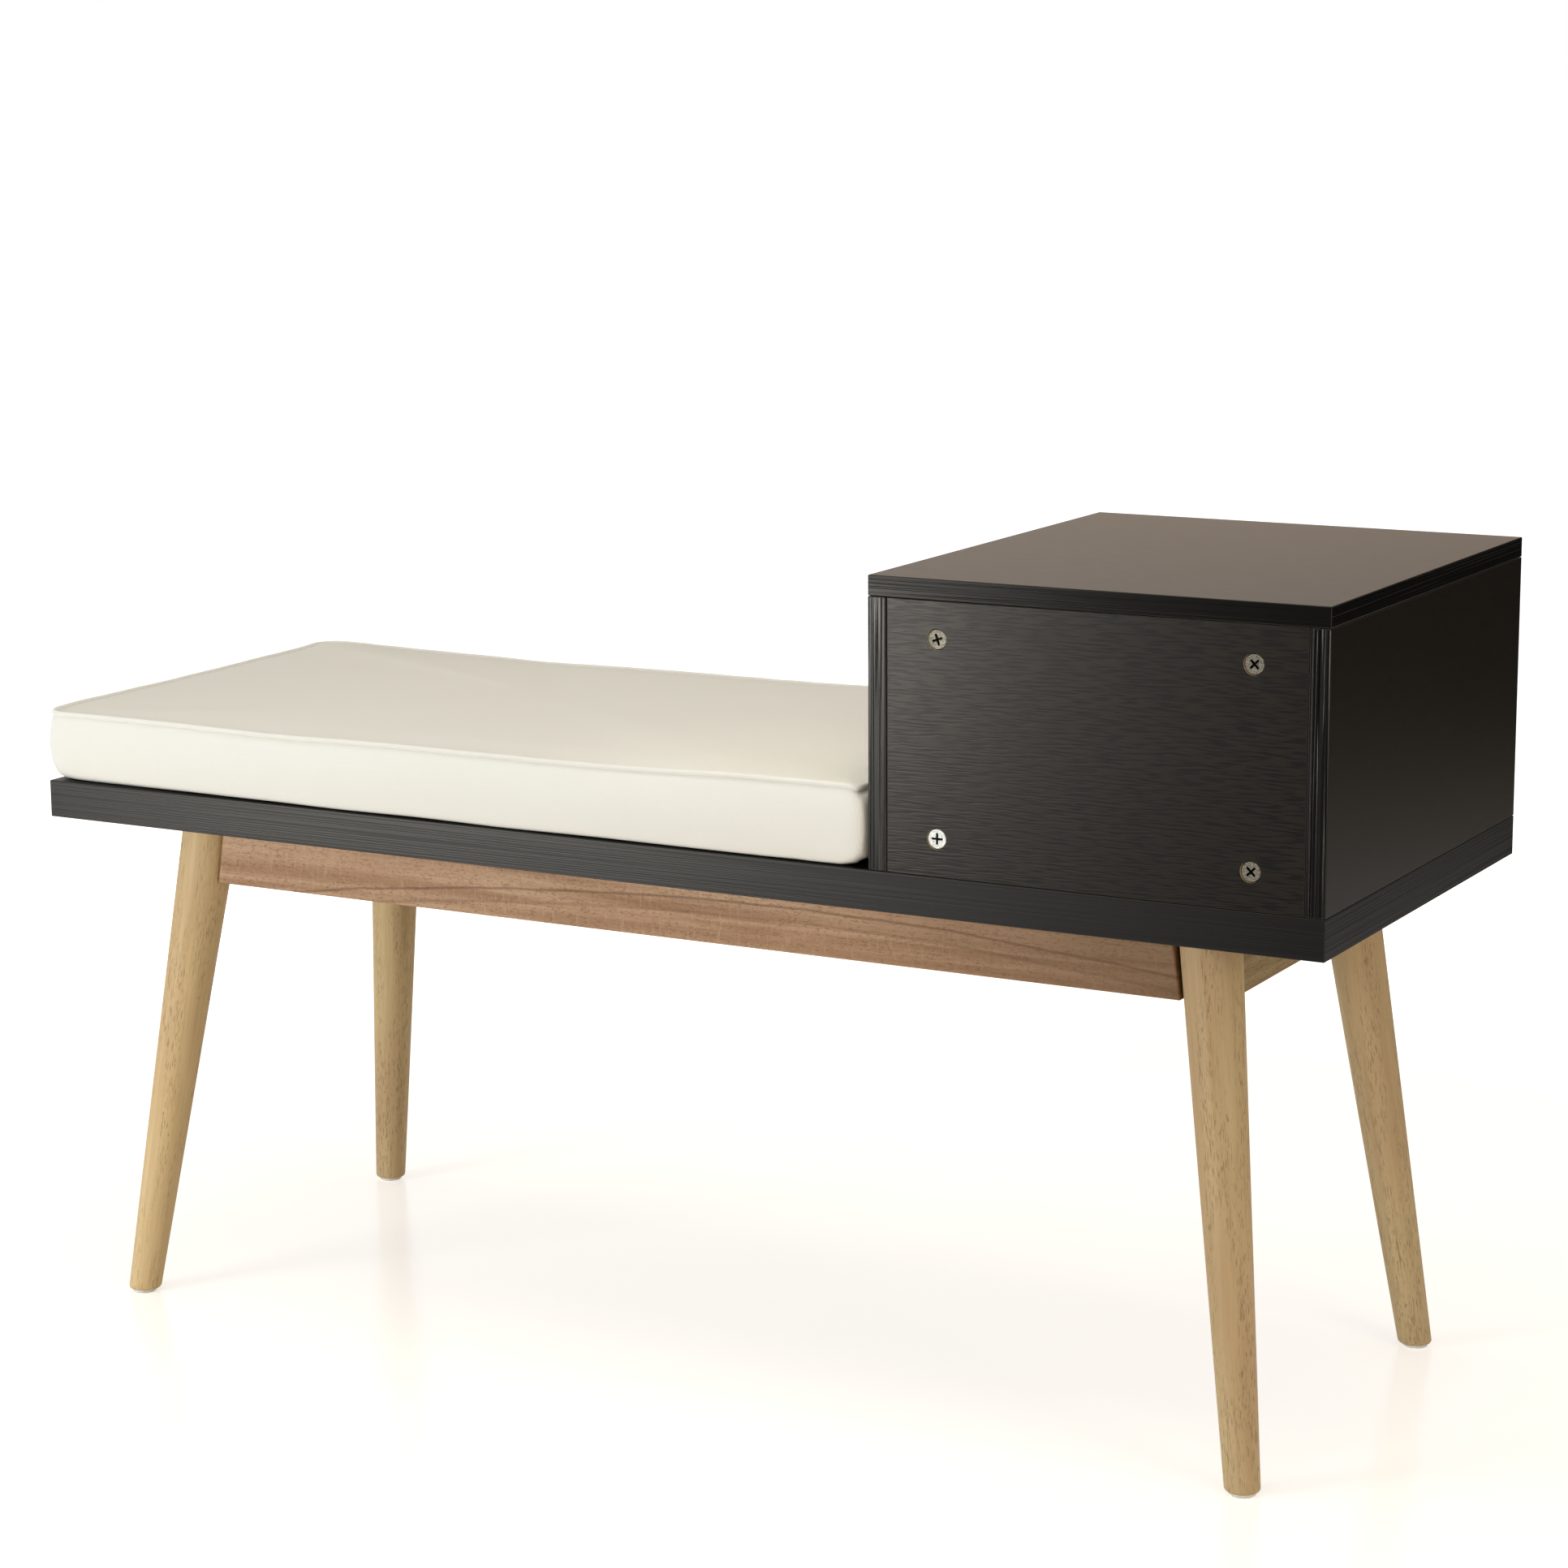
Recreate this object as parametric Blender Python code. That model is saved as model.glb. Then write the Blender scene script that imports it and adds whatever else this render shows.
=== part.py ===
"""Entry bench: a cushioned seat board on splayed legs, with a drawer box at one end. Metres, +Z up.

The floor is z = 0 and the bench is centred over the origin. The box is at -x and the cushion at +x.
The drawer opens towards -y, the bench's front, and the closed back of the box faces +y.
"""

import math

import bmesh
import bpy
from mathutils import Matrix, Vector

# Clearances
GAP = 0.0003  # between pieces that touch
CUT_MARGIN = 0.002  # how far a cutter runs past the face that it opens

# Seat board
SEAT_LENGTH = 1.100
SEAT_DEPTH = 0.400
SEAT_THICKNESS = 0.030
SEAT_HEIGHT = 0.430  # floor to the top of the board

# Storage box
BOX_LENGTH = 0.350
BOX_SIDE_HEIGHT = 0.200  # seat board to the underside of the box's top
BOARD = 0.015
BOARD_EDGE = 0.0006  # rounding of a board's edges

# Cam locks and their bolts, between the box's back and its sides
CAM_RADIUS = 0.0075
CAM_HEIGHT = 0.0110
CAM_RECESS = 0.0010  # the lock's face below the panel's face
CAM_EDGE = 0.0005
CAM_INSET_X = 0.040  # side edge of the back panel to a lock's centre
CAM_INSET_Z = 0.028  # top or bottom edge of the back panel to a lock's centre
CROSS_LENGTH = 0.0085
CROSS_WIDTH = 0.0017
CROSS_DEPTH = 0.0018
CAM_BOLT_BITE = 0.010  # thread inside the box's side
CAM_BOLT_THREAD_RADIUS = 0.0025
CAM_BOLT_COLLAR_RADIUS = 0.0034
CAM_BOLT_COLLAR = 0.0012
CAM_BOLT_SHANK_RADIUS = 0.0028
CAM_BOLT_NECK_RADIUS = 0.0018
CAM_BOLT_NECK = 0.003
CAM_BOLT_HEAD = 0.0035
CAM_BOLT_PAST = 0.002  # head past the lock's centre

# Dowels between the box's sides and its top
DOWEL_RADIUS = 0.004
DOWEL_UP = 0.010  # into the top
DOWEL_DOWN = 0.020  # into the side
DOWEL_CHAMFER = 0.001
BOX_FIXING_INSET = 0.080  # dowels and box screws from the sides' front and back edges

# Countersunk screws through the seat board into the box's sides
BOX_SCREW_HEAD_RADIUS = 0.0050
BOX_SCREW_SHANK_RADIUS = 0.0030
BOX_SCREW_BITE = 0.038  # length inside the box's side
BOX_SCREW_SINK = 0.0008  # head below the seat board's underside

# Countersunk screws through the long aprons into the seat board
APRON_SCREW_HEAD_RADIUS = 0.0042
APRON_SCREW_SHANK_RADIUS = 0.0022
APRON_SCREW_BITE = 0.020  # length inside the seat board
APRON_SCREW_SINK = 0.020  # depth of the counterbore
APRON_SCREW_X = 0.240  # from the middle of the length

# Cross recesses in the screws' heads
SCREW_CROSS_LENGTH = 0.0050
SCREW_CROSS_WIDTH = 0.0011
SCREW_CROSS_DEPTH = 0.0015

# Legs: straight round tapers, splayed outwards both ways
LEG_TOP_INSET_X = 0.112  # leg's axis at the seat board's underside, from the board's edges
LEG_TOP_INSET_Y = 0.068
LEG_FOOT_INSET_X = 0.0605  # leg's axis at the floor, from the board's edges
LEG_FOOT_INSET_Y = 0.0200
LEG_TOP_RADIUS = 0.0228
LEG_FOOT_RADIUS = 0.0130
LEG_SPARE = 0.020  # turned length that the level cuts at both ends take off
FOOT_ROUND = 0.0025
LEG_SIDES = 40

# Nailed glides under the feet
GLIDE_RADIUS = 0.010
GLIDE_THICKNESS = 0.0025
GLIDE_EDGE = 0.0008
GLIDE_NAIL_RADIUS = 0.0012
GLIDE_NAIL = 0.012

# Aprons between the legs
APRON_HEIGHT = 0.053
APRON_THICKNESS = 0.020
APRON_EDGE = 0.0012

# Corner brackets: bent plates whose lips sit in saw kerfs in the aprons
PLATE = 0.002
BRACKET_HEIGHT = 0.034
BRACKET_CLEAR = 0.004  # leg to plate
BRACKET_FLANGE = 0.032
BRACKET_LIP = 0.008
BOLT_RADIUS = 0.0035
BOLT_PAST = 0.010  # bolt's end past the leg's axis
BOLT_HEAD_RADIUS = 0.0075
BOLT_HEAD = 0.0045
BOLT_EDGE = 0.0006
SOCKET_RADIUS = 0.0028
SOCKET_DEPTH = 0.0025

# Drawer
REVEAL = 0.002  # gap round the drawer front
DRAWER_FRONT = 0.015
DRAWER_SIDE = 0.012
DRAWER_BACK = 0.012
DRAWER_BOTTOM = 0.003
DRAWER_REAR_GAP = 0.0347  # drawer to the box's back
DRAWER_SIDE_HEIGHT = 0.150
DRAWER_LIFT = 0.015  # seat board to the drawer sides' lower edges
GROOVE_UP = 0.010  # lower edge of a drawer side to the groove for the bottom
GROOVE_DEPTH = 0.006
NOTCH_WIDTH = 0.100  # finger cut-out in the front's upper edge
NOTCH_DEPTH = 0.028
NOTCH_SIDES = 64

# Roller runners
RUNNER_GAP = 0.0125  # box side to drawer side
SHEET = 0.0012
CASE_RAIL_REAR_GAP = 0.028  # case rail to the box's back
CASE_RAIL_SETBACK = 0.002  # drawer front to the case rail
CASE_FLANGE = 0.0092  # reach of the case rail's flanges from the box side
DRAWER_FLANGE = 0.0080  # reach of the drawer rail's upper flange from its web
ROLLER_RADIUS = 0.009
ROLLER_WIDTH = 0.0055
ROLLER_EDGE = 0.0008
ROLLER_SIDE_GAP = 0.0008
ROLLER_LIFT = 0.0015  # free height over the drawer's rollers
ROLLER_INSET = 0.014  # rail's end to a roller's axle
AXLE_RADIUS = 0.0022
AXLE_HEAD_RADIUS = 0.0032
AXLE_HEAD = 0.0009
RAIL_SCREW_RADIUS = 0.0035
RAIL_SCREW_HEAD = 0.0008
RAIL_SCREW_INSET = 0.060  # rail's end to a screw

# Seat cushion
CUSHION_BOX_GAP = 0.0005
CUSHION_END_INSET = 0.0005  # from the seat board's end
CUSHION_EDGE_INSET = 0.0005  # from the seat board's long edges
CUSHION_EDGE_HEIGHT = 0.059  # to the top of the piping
CUSHION_CROWN = 0.005  # rise of the top panel over its sewn edge
CUSHION_CORNER = 0.024
CUSHION_DRAW_IN = 0.0015  # sides drawn in at mid length
CUSHION_BULGE = 0.004  # sides bulge at mid height
PIPING_RADIUS = 0.0023
PIPING_TURN = 240  # degrees of the piping that show, from the side's seam to the top panel's
CUSHION_LONG_STEPS = 14
CUSHION_SHORT_STEPS = 8
CUSHION_CORNER_STEPS = 6
CUSHION_SIDE_RINGS = 6
PIPING_RINGS = 6
CUSHION_TOP_RINGS = 5
CUSHION_INNER_RING = 0.15  # smallest ring of the crown, as a share of the outline

# Facets of round pieces
ROUND_SIDES = 12
CAM_SIDES = 28
ROLLER_SIDES = 24

# Places that several pieces share
X_END = SEAT_LENGTH / 2
Y_EDGE = SEAT_DEPTH / 2
Z_UNDER = SEAT_HEIGHT - SEAT_THICKNESS
Z_TOP = SEAT_HEIGHT + BOX_SIDE_HEIGHT
BOX_LEFT = -X_END
BOX_RIGHT = -X_END + BOX_LENGTH
CASE_LEFT = BOX_LEFT + BOARD
CASE_RIGHT = BOX_RIGHT - BOARD
Z_APRON = Z_UNDER - APRON_HEIGHT
Z_BRACKET = Z_UNDER - APRON_HEIGHT / 2
Y_FRONT_INSIDE = -Y_EDGE + DRAWER_FRONT
Y_DRAWER_END = Y_EDGE - BOARD - DRAWER_REAR_GAP
Z_DRAWER = SEAT_HEIGHT + DRAWER_LIFT
Z_GROOVE = Z_DRAWER + GROOVE_UP
Z_DRAWER_FLOOR = Z_GROOVE + GAP + DRAWER_BOTTOM
Z_FLANGE = Z_DRAWER + SHEET + GAP + 2 * ROLLER_RADIUS + ROLLER_LIFT
CORNERS = [(x, y) for y in (-1, 1) for x in (-1, 1)]


def corner_name(x, y):
    return ("front" if y < 0 else "back") + ("_left" if x < 0 else "_right")


def side_name(x):
    return "left" if x < 0 else "right"


def leg_axis(z):
    """Distances of a leg's axis from the bench's middle, along x and y, at height z."""
    down = (Z_UNDER - z) / Z_UNDER
    inset_x = LEG_TOP_INSET_X + (LEG_FOOT_INSET_X - LEG_TOP_INSET_X) * down
    inset_y = LEG_TOP_INSET_Y + (LEG_FOOT_INSET_Y - LEG_TOP_INSET_Y) * down
    return Vector((X_END - inset_x, Y_EDGE - inset_y))


def leg_radius(z):
    down = (Z_UNDER - z) / Z_UNDER
    return LEG_TOP_RADIUS + (LEG_FOOT_RADIUS - LEG_TOP_RADIUS) * down


def leg_reach(z):
    """Half the widths of a leg's level section along x and y: the splay widens it."""
    slope = (leg_axis(0) - leg_axis(Z_UNDER)) / Z_UNDER
    return Vector([leg_radius(z) * math.sqrt(1 + part * part) for part in slope])


# The aprons' middles stand over the legs' axes at the aprons' lower edges
APRON_LINE = leg_axis(Z_APRON)


def linear(red, green, blue):
    """Linear colour from display values of 0 to 255."""
    return [((value / 255 + 0.055) / 1.055) ** 2.4 for value in (red, green, blue)]


def finish(name, colour, roughness, metallic=0.0):
    material = bpy.data.materials.new(name)
    material.use_nodes = True
    shader = material.node_tree.nodes["Principled BSDF"]
    shader.inputs["Base Color"].default_value = (*colour, 1.0)
    shader.inputs["Roughness"].default_value = roughness
    shader.inputs["Metallic"].default_value = metallic
    return material


def clear_scene():
    for old in list(bpy.data.objects):
        bpy.data.objects.remove(old, do_unlink=True)


def add_object(name, mesh, material, origin, parent=None):
    """An object from a mesh built in world coordinates, with its origin at the given point."""
    bmesh.ops.recalc_face_normals(mesh, faces=mesh.faces)
    bmesh.ops.translate(mesh, verts=mesh.verts, vec=-Vector(origin))
    data = bpy.data.meshes.new(name)
    mesh.to_mesh(data)
    mesh.free()
    data.shade_smooth()
    data.set_sharp_from_angle(angle=math.radians(35))
    item = bpy.data.objects.new(name, data)
    bpy.context.scene.collection.objects.link(item)
    item.location = Vector(origin)
    if parent:
        item.parent = parent
        item.location -= parent.location
    if material:
        data.materials.append(material)
    return item


def add_empty(name, place):
    empty = bpy.data.objects.new(name, None)
    bpy.context.scene.collection.objects.link(empty)
    empty.location = Vector(place)
    return empty


def soften(item, width):
    bevel = item.modifiers.new("soft_edges", "BEVEL")
    bevel.width = width
    bevel.segments = 2
    bevel.limit_method = "ANGLE"


def combine(item, mesh, operation):
    """A Boolean with a hidden helper, whose mesh is built in world coordinates."""
    helper = add_object(item.name + "_" + operation.lower(), mesh, None, (0, 0, 0))
    helper.hide_render = True
    helper.display_type = "WIRE"
    modifier = item.modifiers.new(operation.lower(), "BOOLEAN")
    modifier.operation = operation
    modifier.solver = "EXACT"
    modifier.object = helper


def box_mesh(low, high, mesh=None):
    mesh = mesh or bmesh.new()
    low = Vector(low)
    high = Vector(high)
    size = Matrix.Diagonal((*(high - low), 1))
    bmesh.ops.create_cube(mesh, size=1, matrix=Matrix.Translation((low + high) / 2) @ size)
    return mesh


def frame_along(origin, direction):
    """A placement whose +Z runs along the direction."""
    turn = Vector(direction).to_track_quat("Z", "Y").to_matrix().to_4x4()
    return Matrix.Translation(Vector(origin)) @ turn


def turned_mesh(profile, place, mesh=None, sides=ROUND_SIDES, ring=False):
    """A solid turned about +Z of place from (radius, height) pairs that rise, or close into a ring."""
    mesh = mesh or bmesh.new()
    rings = []
    for radius, height in profile:
        angles = [math.tau * step / sides for step in range(sides)]
        points = [Vector((radius * math.cos(a), radius * math.sin(a), height)) for a in angles]
        rings.append([mesh.verts.new(place @ point) for point in points])
    pairs = list(zip(rings, rings[1:]))
    if ring:
        pairs.append((rings[-1], rings[0]))
    else:
        mesh.faces.new(rings[0])
        mesh.faces.new(rings[-1])
    for low, high in pairs:
        for step in range(sides):
            after = (step + 1) % sides
            mesh.faces.new((low[step], low[after], high[after], high[step]))
    return mesh


def rod_mesh(start, end, radius, mesh=None, sides=ROUND_SIDES):
    start = Vector(start)
    end = Vector(end)
    length = (end - start).length
    return turned_mesh([(radius, 0), (radius, length)], frame_along(start, end - start), mesh, sides)


def prism_mesh(outline, start, end, place, mesh=None):
    """An outline of (a, b) points swept from start to end; place(a, b, c) gives world coordinates."""
    mesh = mesh or bmesh.new()
    rings = [[mesh.verts.new(place(a, b, c)) for a, b in outline] for c in (start, end)]
    for ring in rings:
        mesh.faces.new(ring)
    count = len(outline)
    for step in range(count):
        after = (step + 1) % count
        mesh.faces.new((rings[0][step], rings[0][after], rings[1][after], rings[1][step]))
    return mesh


def ribbon_outline(path, width):
    """The closed outline of a strip of even width along an open path, mitred at its bends."""
    points = [Vector(point) for point in path]
    runs = [(after - before).normalized() for before, after in zip(points, points[1:])]
    runs = [runs[0], *runs, runs[-1]]
    left = []
    right = []
    for point, before, after in zip(points, runs, runs[1:]):
        mitre = (before + after).normalized()
        reach = width / 2 / mitre.dot(after)
        across = Vector((-mitre.y, mitre.x)) * reach
        left.append(point + across)
        right.append(point - across)
    return left + right[::-1]


def countersunk_profile(head_radius, shank_radius, shank, extra=0.0, below=0.0):
    """A screw that points up from its head at height 0, or the hole for it when extra is added all round."""
    cone = head_radius - shank_radius
    profile = [(head_radius + extra, -below), (head_radius + extra, extra)] if below else []
    profile += [] if below else [(head_radius, 0)]
    profile.append((shank_radius + extra, cone + extra))
    profile.append((shank_radius + extra, shank - 2 * shank_radius + extra))
    profile.append((shank_radius / 2 + extra, shank + extra))
    return profile


def add_board(name, low, high, material, edge, parent=None):
    low = Vector(low)
    high = Vector(high)
    board = add_object(name, box_mesh(low, high), material, (low + high) / 2, parent)
    soften(board, edge)
    return board


def box_fixing_points():
    """(side, x, y) of each fixing in the box's two sides."""
    middles = {-1: BOX_LEFT + BOARD / 2, 1: BOX_RIGHT - BOARD / 2}
    reach = Y_EDGE - BOX_FIXING_INSET
    return [(side, middles[side], y * reach) for side in (-1, 1) for y in (-1, 1)]


def screw_head_z():
    return Z_UNDER + BOX_SCREW_SINK


def box_screw_hole(x, y, mesh=None):
    shank = SEAT_HEIGHT + BOX_SCREW_BITE - screw_head_z()
    below = BOX_SCREW_SINK + CUT_MARGIN
    profile = countersunk_profile(BOX_SCREW_HEAD_RADIUS, BOX_SCREW_SHANK_RADIUS, shank, GAP, below)
    return turned_mesh(profile, Matrix.Translation((x, y, screw_head_z())), mesh)


def apron_screw_hole(x, y, mesh=None):
    head_z = Z_APRON + APRON_SCREW_SINK
    shank = Z_UNDER + APRON_SCREW_BITE - head_z
    below = APRON_SCREW_SINK + CUT_MARGIN
    profile = countersunk_profile(APRON_SCREW_HEAD_RADIUS, APRON_SCREW_SHANK_RADIUS, shank, GAP, below)
    return turned_mesh(profile, Matrix.Translation((x, y, head_z)), mesh)


def dowel_hole(x, y, mesh=None):
    low = (x, y, Z_TOP - DOWEL_DOWN - GAP)
    high = (x, y, Z_TOP + DOWEL_UP + GAP)
    return rod_mesh(low, high, DOWEL_RADIUS + GAP, mesh)


def add_seat_board(black):
    low = (-X_END, -Y_EDGE, Z_UNDER)
    seat = add_board("seat_board", low, (X_END, Y_EDGE, SEAT_HEIGHT), black, BOARD_EDGE)
    holes = bmesh.new()
    for _, x, y in box_fixing_points():
        box_screw_hole(x, y, holes)
    for x, y in CORNERS:
        apron_screw_hole(x * APRON_SCREW_X, y * APRON_LINE.y, holes)
    combine(seat, holes, "DIFFERENCE")


def cam_places():
    """(x side, z side, x, z) of each cam lock in the back panel."""
    middle_x = (CASE_LEFT + CASE_RIGHT) / 2
    middle_z = SEAT_HEIGHT + BOX_SIDE_HEIGHT / 2
    reach_x = (CASE_RIGHT - CASE_LEFT) / 2 - CAM_INSET_X
    reach_z = BOX_SIDE_HEIGHT / 2 - CAM_INSET_Z
    return [(x, z, middle_x + x * reach_x, middle_z + z * reach_z) for x in (-1, 1) for z in (-1, 1)]


def cam_bolt_start(side, z):
    """Where a cam bolt leaves the box's side."""
    return Vector((CASE_LEFT if side < 0 else CASE_RIGHT, Y_EDGE - BOARD / 2, z))


def cam_bolt_bore(side, z, mesh=None):
    """The bore for a cam bolt, from outside the back panel's edge to past the lock's centre."""
    start = cam_bolt_start(side, z) + Vector((side * CUT_MARGIN, 0, 0))
    end = cam_bolt_start(side, z) - Vector((side * (CAM_INSET_X + CAM_BOLT_PAST + GAP), 0, 0))
    return rod_mesh(start, end, CAM_BOLT_COLLAR_RADIUS + GAP, mesh)


def add_box_sides(black):
    for side, name in ((-1, "box_end_panel"), (1, "box_inner_panel")):
        x = BOX_LEFT if side < 0 else CASE_RIGHT
        low = (x, -Y_EDGE, SEAT_HEIGHT + GAP)
        high = (x + BOARD, Y_EDGE, Z_TOP - GAP)
        panel = add_board(name, low, high, black, BOARD_EDGE)
        holes = bmesh.new()
        for fixing_side, fixing_x, y in box_fixing_points():
            if fixing_side == side:
                box_screw_hole(fixing_x, y, holes)
                dowel_hole(fixing_x, y, holes)
        for cam_side, _, _, z in cam_places():
            if cam_side == side:
                face = cam_bolt_start(side, z)
                start = face - Vector((side * CUT_MARGIN, 0, 0))
                end = face + Vector((side * (CAM_BOLT_BITE + GAP), 0, 0))
                rod_mesh(start, end, CAM_BOLT_THREAD_RADIUS + GAP, holes)
        combine(panel, holes, "DIFFERENCE")


def add_box_top(black):
    low = (BOX_LEFT, -Y_EDGE, Z_TOP)
    top = add_board("box_top_panel", low, (BOX_RIGHT, Y_EDGE, Z_TOP + BOARD), black, BOARD_EDGE)
    holes = bmesh.new()
    for _, x, y in box_fixing_points():
        dowel_hole(x, y, holes)
    combine(top, holes, "DIFFERENCE")


def add_box_back(black):
    low = (CASE_LEFT + GAP, Y_EDGE - BOARD, SEAT_HEIGHT + GAP)
    high = (CASE_RIGHT - GAP, Y_EDGE, Z_TOP - GAP)
    back = add_board("box_back_panel", low, high, black, BOARD_EDGE)
    pockets = bmesh.new()
    bores = bmesh.new()
    for side, _, x, z in cam_places():
        floor = Y_EDGE - CAM_RECESS - CAM_HEIGHT - GAP
        rod_mesh((x, floor, z), (x, Y_EDGE + CUT_MARGIN, z), CAM_RADIUS + GAP, pockets, CAM_SIDES)
        cam_bolt_bore(side, z, bores)
    combine(back, pockets, "DIFFERENCE")
    combine(back, bores, "DIFFERENCE")


def cross_outline(length, width):
    """A cross recess, drawn round from the tip of one arm."""
    arm = length / 2
    half = width / 2
    quarter = [Vector((arm, -half)), Vector((arm, half)), Vector((half, half))]
    turns = [Matrix.Rotation(step * math.pi / 2, 2) for step in range(4)]
    return [turn @ point for turn in turns for point in quarter]


def add_cam_locks(zinc):
    """Cam locks in the back panel, each left at its own turn."""
    rest_turn = {(1, 1): 20, (1, -1): 0, (-1, 1): 45, (-1, -1): 45}
    profile = [
        (CAM_RADIUS - CAM_EDGE, 0),
        (CAM_RADIUS, CAM_EDGE),
        (CAM_RADIUS, CAM_HEIGHT - CAM_EDGE),
        (CAM_RADIUS - CAM_EDGE, CAM_HEIGHT),
    ]
    for side, level, x, z in cam_places():
        name = "back_cam_lock_" + ("top_" if level > 0 else "bottom_") + side_name(side)
        foot = Vector((x, Y_EDGE - CAM_RECESS - CAM_HEIGHT, z))
        place = frame_along(foot, (0, 1, 0))
        lock = add_object(name, turned_mesh(profile, place, sides=CAM_SIDES), zinc, foot)
        turn = Matrix.Rotation(math.radians(rest_turn[side, level]), 4, "Z")
        outline = cross_outline(CROSS_LENGTH, CROSS_WIDTH)
        face = CAM_HEIGHT - CROSS_DEPTH
        cross = prism_mesh(
            outline,
            face,
            CAM_HEIGHT + CUT_MARGIN,
            lambda a, b, c, place=place, turn=turn: place @ turn @ Vector((a, b, c)),
        )
        combine(lock, cross, "DIFFERENCE")
        combine(lock, cam_bolt_bore(side, z), "DIFFERENCE")


def add_cam_bolts(steel):
    reach = CAM_INSET_X + CAM_BOLT_PAST
    thread = CAM_BOLT_THREAD_RADIUS
    head_radius = CAM_BOLT_SHANK_RADIUS
    profile = [
        (thread / 2, -CAM_BOLT_BITE),
        (thread, -CAM_BOLT_BITE + thread),
        (thread, GAP),
        (CAM_BOLT_COLLAR_RADIUS, GAP),
        (CAM_BOLT_COLLAR_RADIUS, GAP + CAM_BOLT_COLLAR),
        (CAM_BOLT_SHANK_RADIUS, GAP + CAM_BOLT_COLLAR),
        (CAM_BOLT_SHANK_RADIUS, reach - CAM_BOLT_HEAD - CAM_BOLT_NECK),
        (CAM_BOLT_NECK_RADIUS, reach - CAM_BOLT_HEAD - CAM_BOLT_NECK),
        (CAM_BOLT_NECK_RADIUS, reach - CAM_BOLT_HEAD),
        (head_radius, reach - CAM_BOLT_HEAD),
        (head_radius, reach - CAM_BOLT_HEAD / 2),
        (head_radius / 2, reach),
    ]
    for side, level, _, z in cam_places():
        name = "back_cam_bolt_" + ("top_" if level > 0 else "bottom_") + side_name(side)
        start = cam_bolt_start(side, z)
        add_object(name, turned_mesh(profile, frame_along(start, (-side, 0, 0))), steel, start)


def add_top_dowels(beech):
    profile = [
        (DOWEL_RADIUS - DOWEL_CHAMFER, -DOWEL_DOWN),
        (DOWEL_RADIUS, -DOWEL_DOWN + DOWEL_CHAMFER),
        (DOWEL_RADIUS, DOWEL_UP - DOWEL_CHAMFER),
        (DOWEL_RADIUS - DOWEL_CHAMFER, DOWEL_UP),
    ]
    for side, x, y in box_fixing_points():
        name = "top_dowel_" + corner_name(side, y)
        place = Vector((x, y, Z_TOP))
        add_object(name, turned_mesh(profile, Matrix.Translation(place)), beech, place)


def add_screw(name, profile, place, steel):
    """A screw that points up, with a cross recess in its head."""
    screw = add_object(name, turned_mesh(profile, Matrix.Translation(place)), steel, place)
    outline = cross_outline(SCREW_CROSS_LENGTH, SCREW_CROSS_WIDTH)
    cross = prism_mesh(
        outline, -CUT_MARGIN, SCREW_CROSS_DEPTH, lambda a, b, c: place + Vector((a, b, c))
    )
    combine(screw, cross, "DIFFERENCE")


def add_screws(steel):
    for side, x, y in box_fixing_points():
        shank = SEAT_HEIGHT + BOX_SCREW_BITE - screw_head_z()
        profile = countersunk_profile(BOX_SCREW_HEAD_RADIUS, BOX_SCREW_SHANK_RADIUS, shank)
        place = Vector((x, y, screw_head_z()))
        add_screw("box_screw_" + corner_name(side, y), profile, place, steel)
    for x, y in CORNERS:
        place = Vector((x * APRON_SCREW_X, y * APRON_LINE.y, Z_APRON + APRON_SCREW_SINK))
        shank = Z_UNDER + APRON_SCREW_BITE - place.z
        profile = countersunk_profile(APRON_SCREW_HEAD_RADIUS, APRON_SCREW_SHANK_RADIUS, shank)
        add_screw("apron_screw_" + corner_name(x, y), profile, place, steel)


def slice_level(mesh, z, keep_above):
    """Cut a mesh level at height z, close it there and return the cut's edges."""
    geometry = mesh.verts[:] + mesh.edges[:] + mesh.faces[:]
    normal = (0, 0, -1) if keep_above else (0, 0, 1)
    cut = bmesh.ops.bisect_plane(mesh, geom=geometry, plane_co=(0, 0, z), plane_no=normal, clear_outer=True)
    edges = [part for part in cut["geom_cut"] if isinstance(part, bmesh.types.BMEdge)]
    bmesh.ops.contextual_create(mesh, geom=edges)
    return edges


def leg_point(x, y, z):
    axis = leg_axis(z)
    return Vector((x * axis.x, y * axis.y, z))


def bolt_frame(x, y):
    """A leg bolt's placement: its origin on the leg's axis, +Z towards the bench's middle."""
    return frame_along(leg_point(x, y, Z_BRACKET), (-x, -y, 0))


def leg_to_plate():
    """Leg's axis to the middle of its bracket's plate, along the bolt."""
    return max(leg_reach(Z_BRACKET)) + BRACKET_CLEAR + PLATE / 2


def add_legs(oak):
    for x, y in CORNERS:
        low = leg_point(x, y, -LEG_SPARE)
        high = leg_point(x, y, Z_UNDER + LEG_SPARE)
        profile = [(leg_radius(low.z), 0), (leg_radius(high.z), (high - low).length)]
        mesh = turned_mesh(profile, frame_along(low, high - low), sides=LEG_SIDES)
        slice_level(mesh, Z_UNDER - GAP, False)
        sole = slice_level(mesh, GLIDE_THICKNESS + GAP, True)
        bmesh.ops.bevel(mesh, geom=sole, offset=FOOT_ROUND, segments=3, profile=0.5, affect="EDGES")
        leg = add_object("leg_" + corner_name(x, y), mesh, oak, leg_point(x, y, Z_UNDER))
        place = bolt_frame(x, y)
        bore_end = place @ Vector((0, 0, -BOLT_PAST - GAP))
        bore_mouth = place @ Vector((0, 0, leg_to_plate()))
        holes = rod_mesh(bore_end, bore_mouth, BOLT_RADIUS + GAP)
        foot = leg_point(x, y, 0)
        nail_end = foot + Vector((0, 0, GLIDE_THICKNESS + GLIDE_NAIL + GAP))
        rod_mesh(foot, nail_end, GLIDE_NAIL_RADIUS + GAP, holes)
        combine(leg, holes, "DIFFERENCE")


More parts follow.
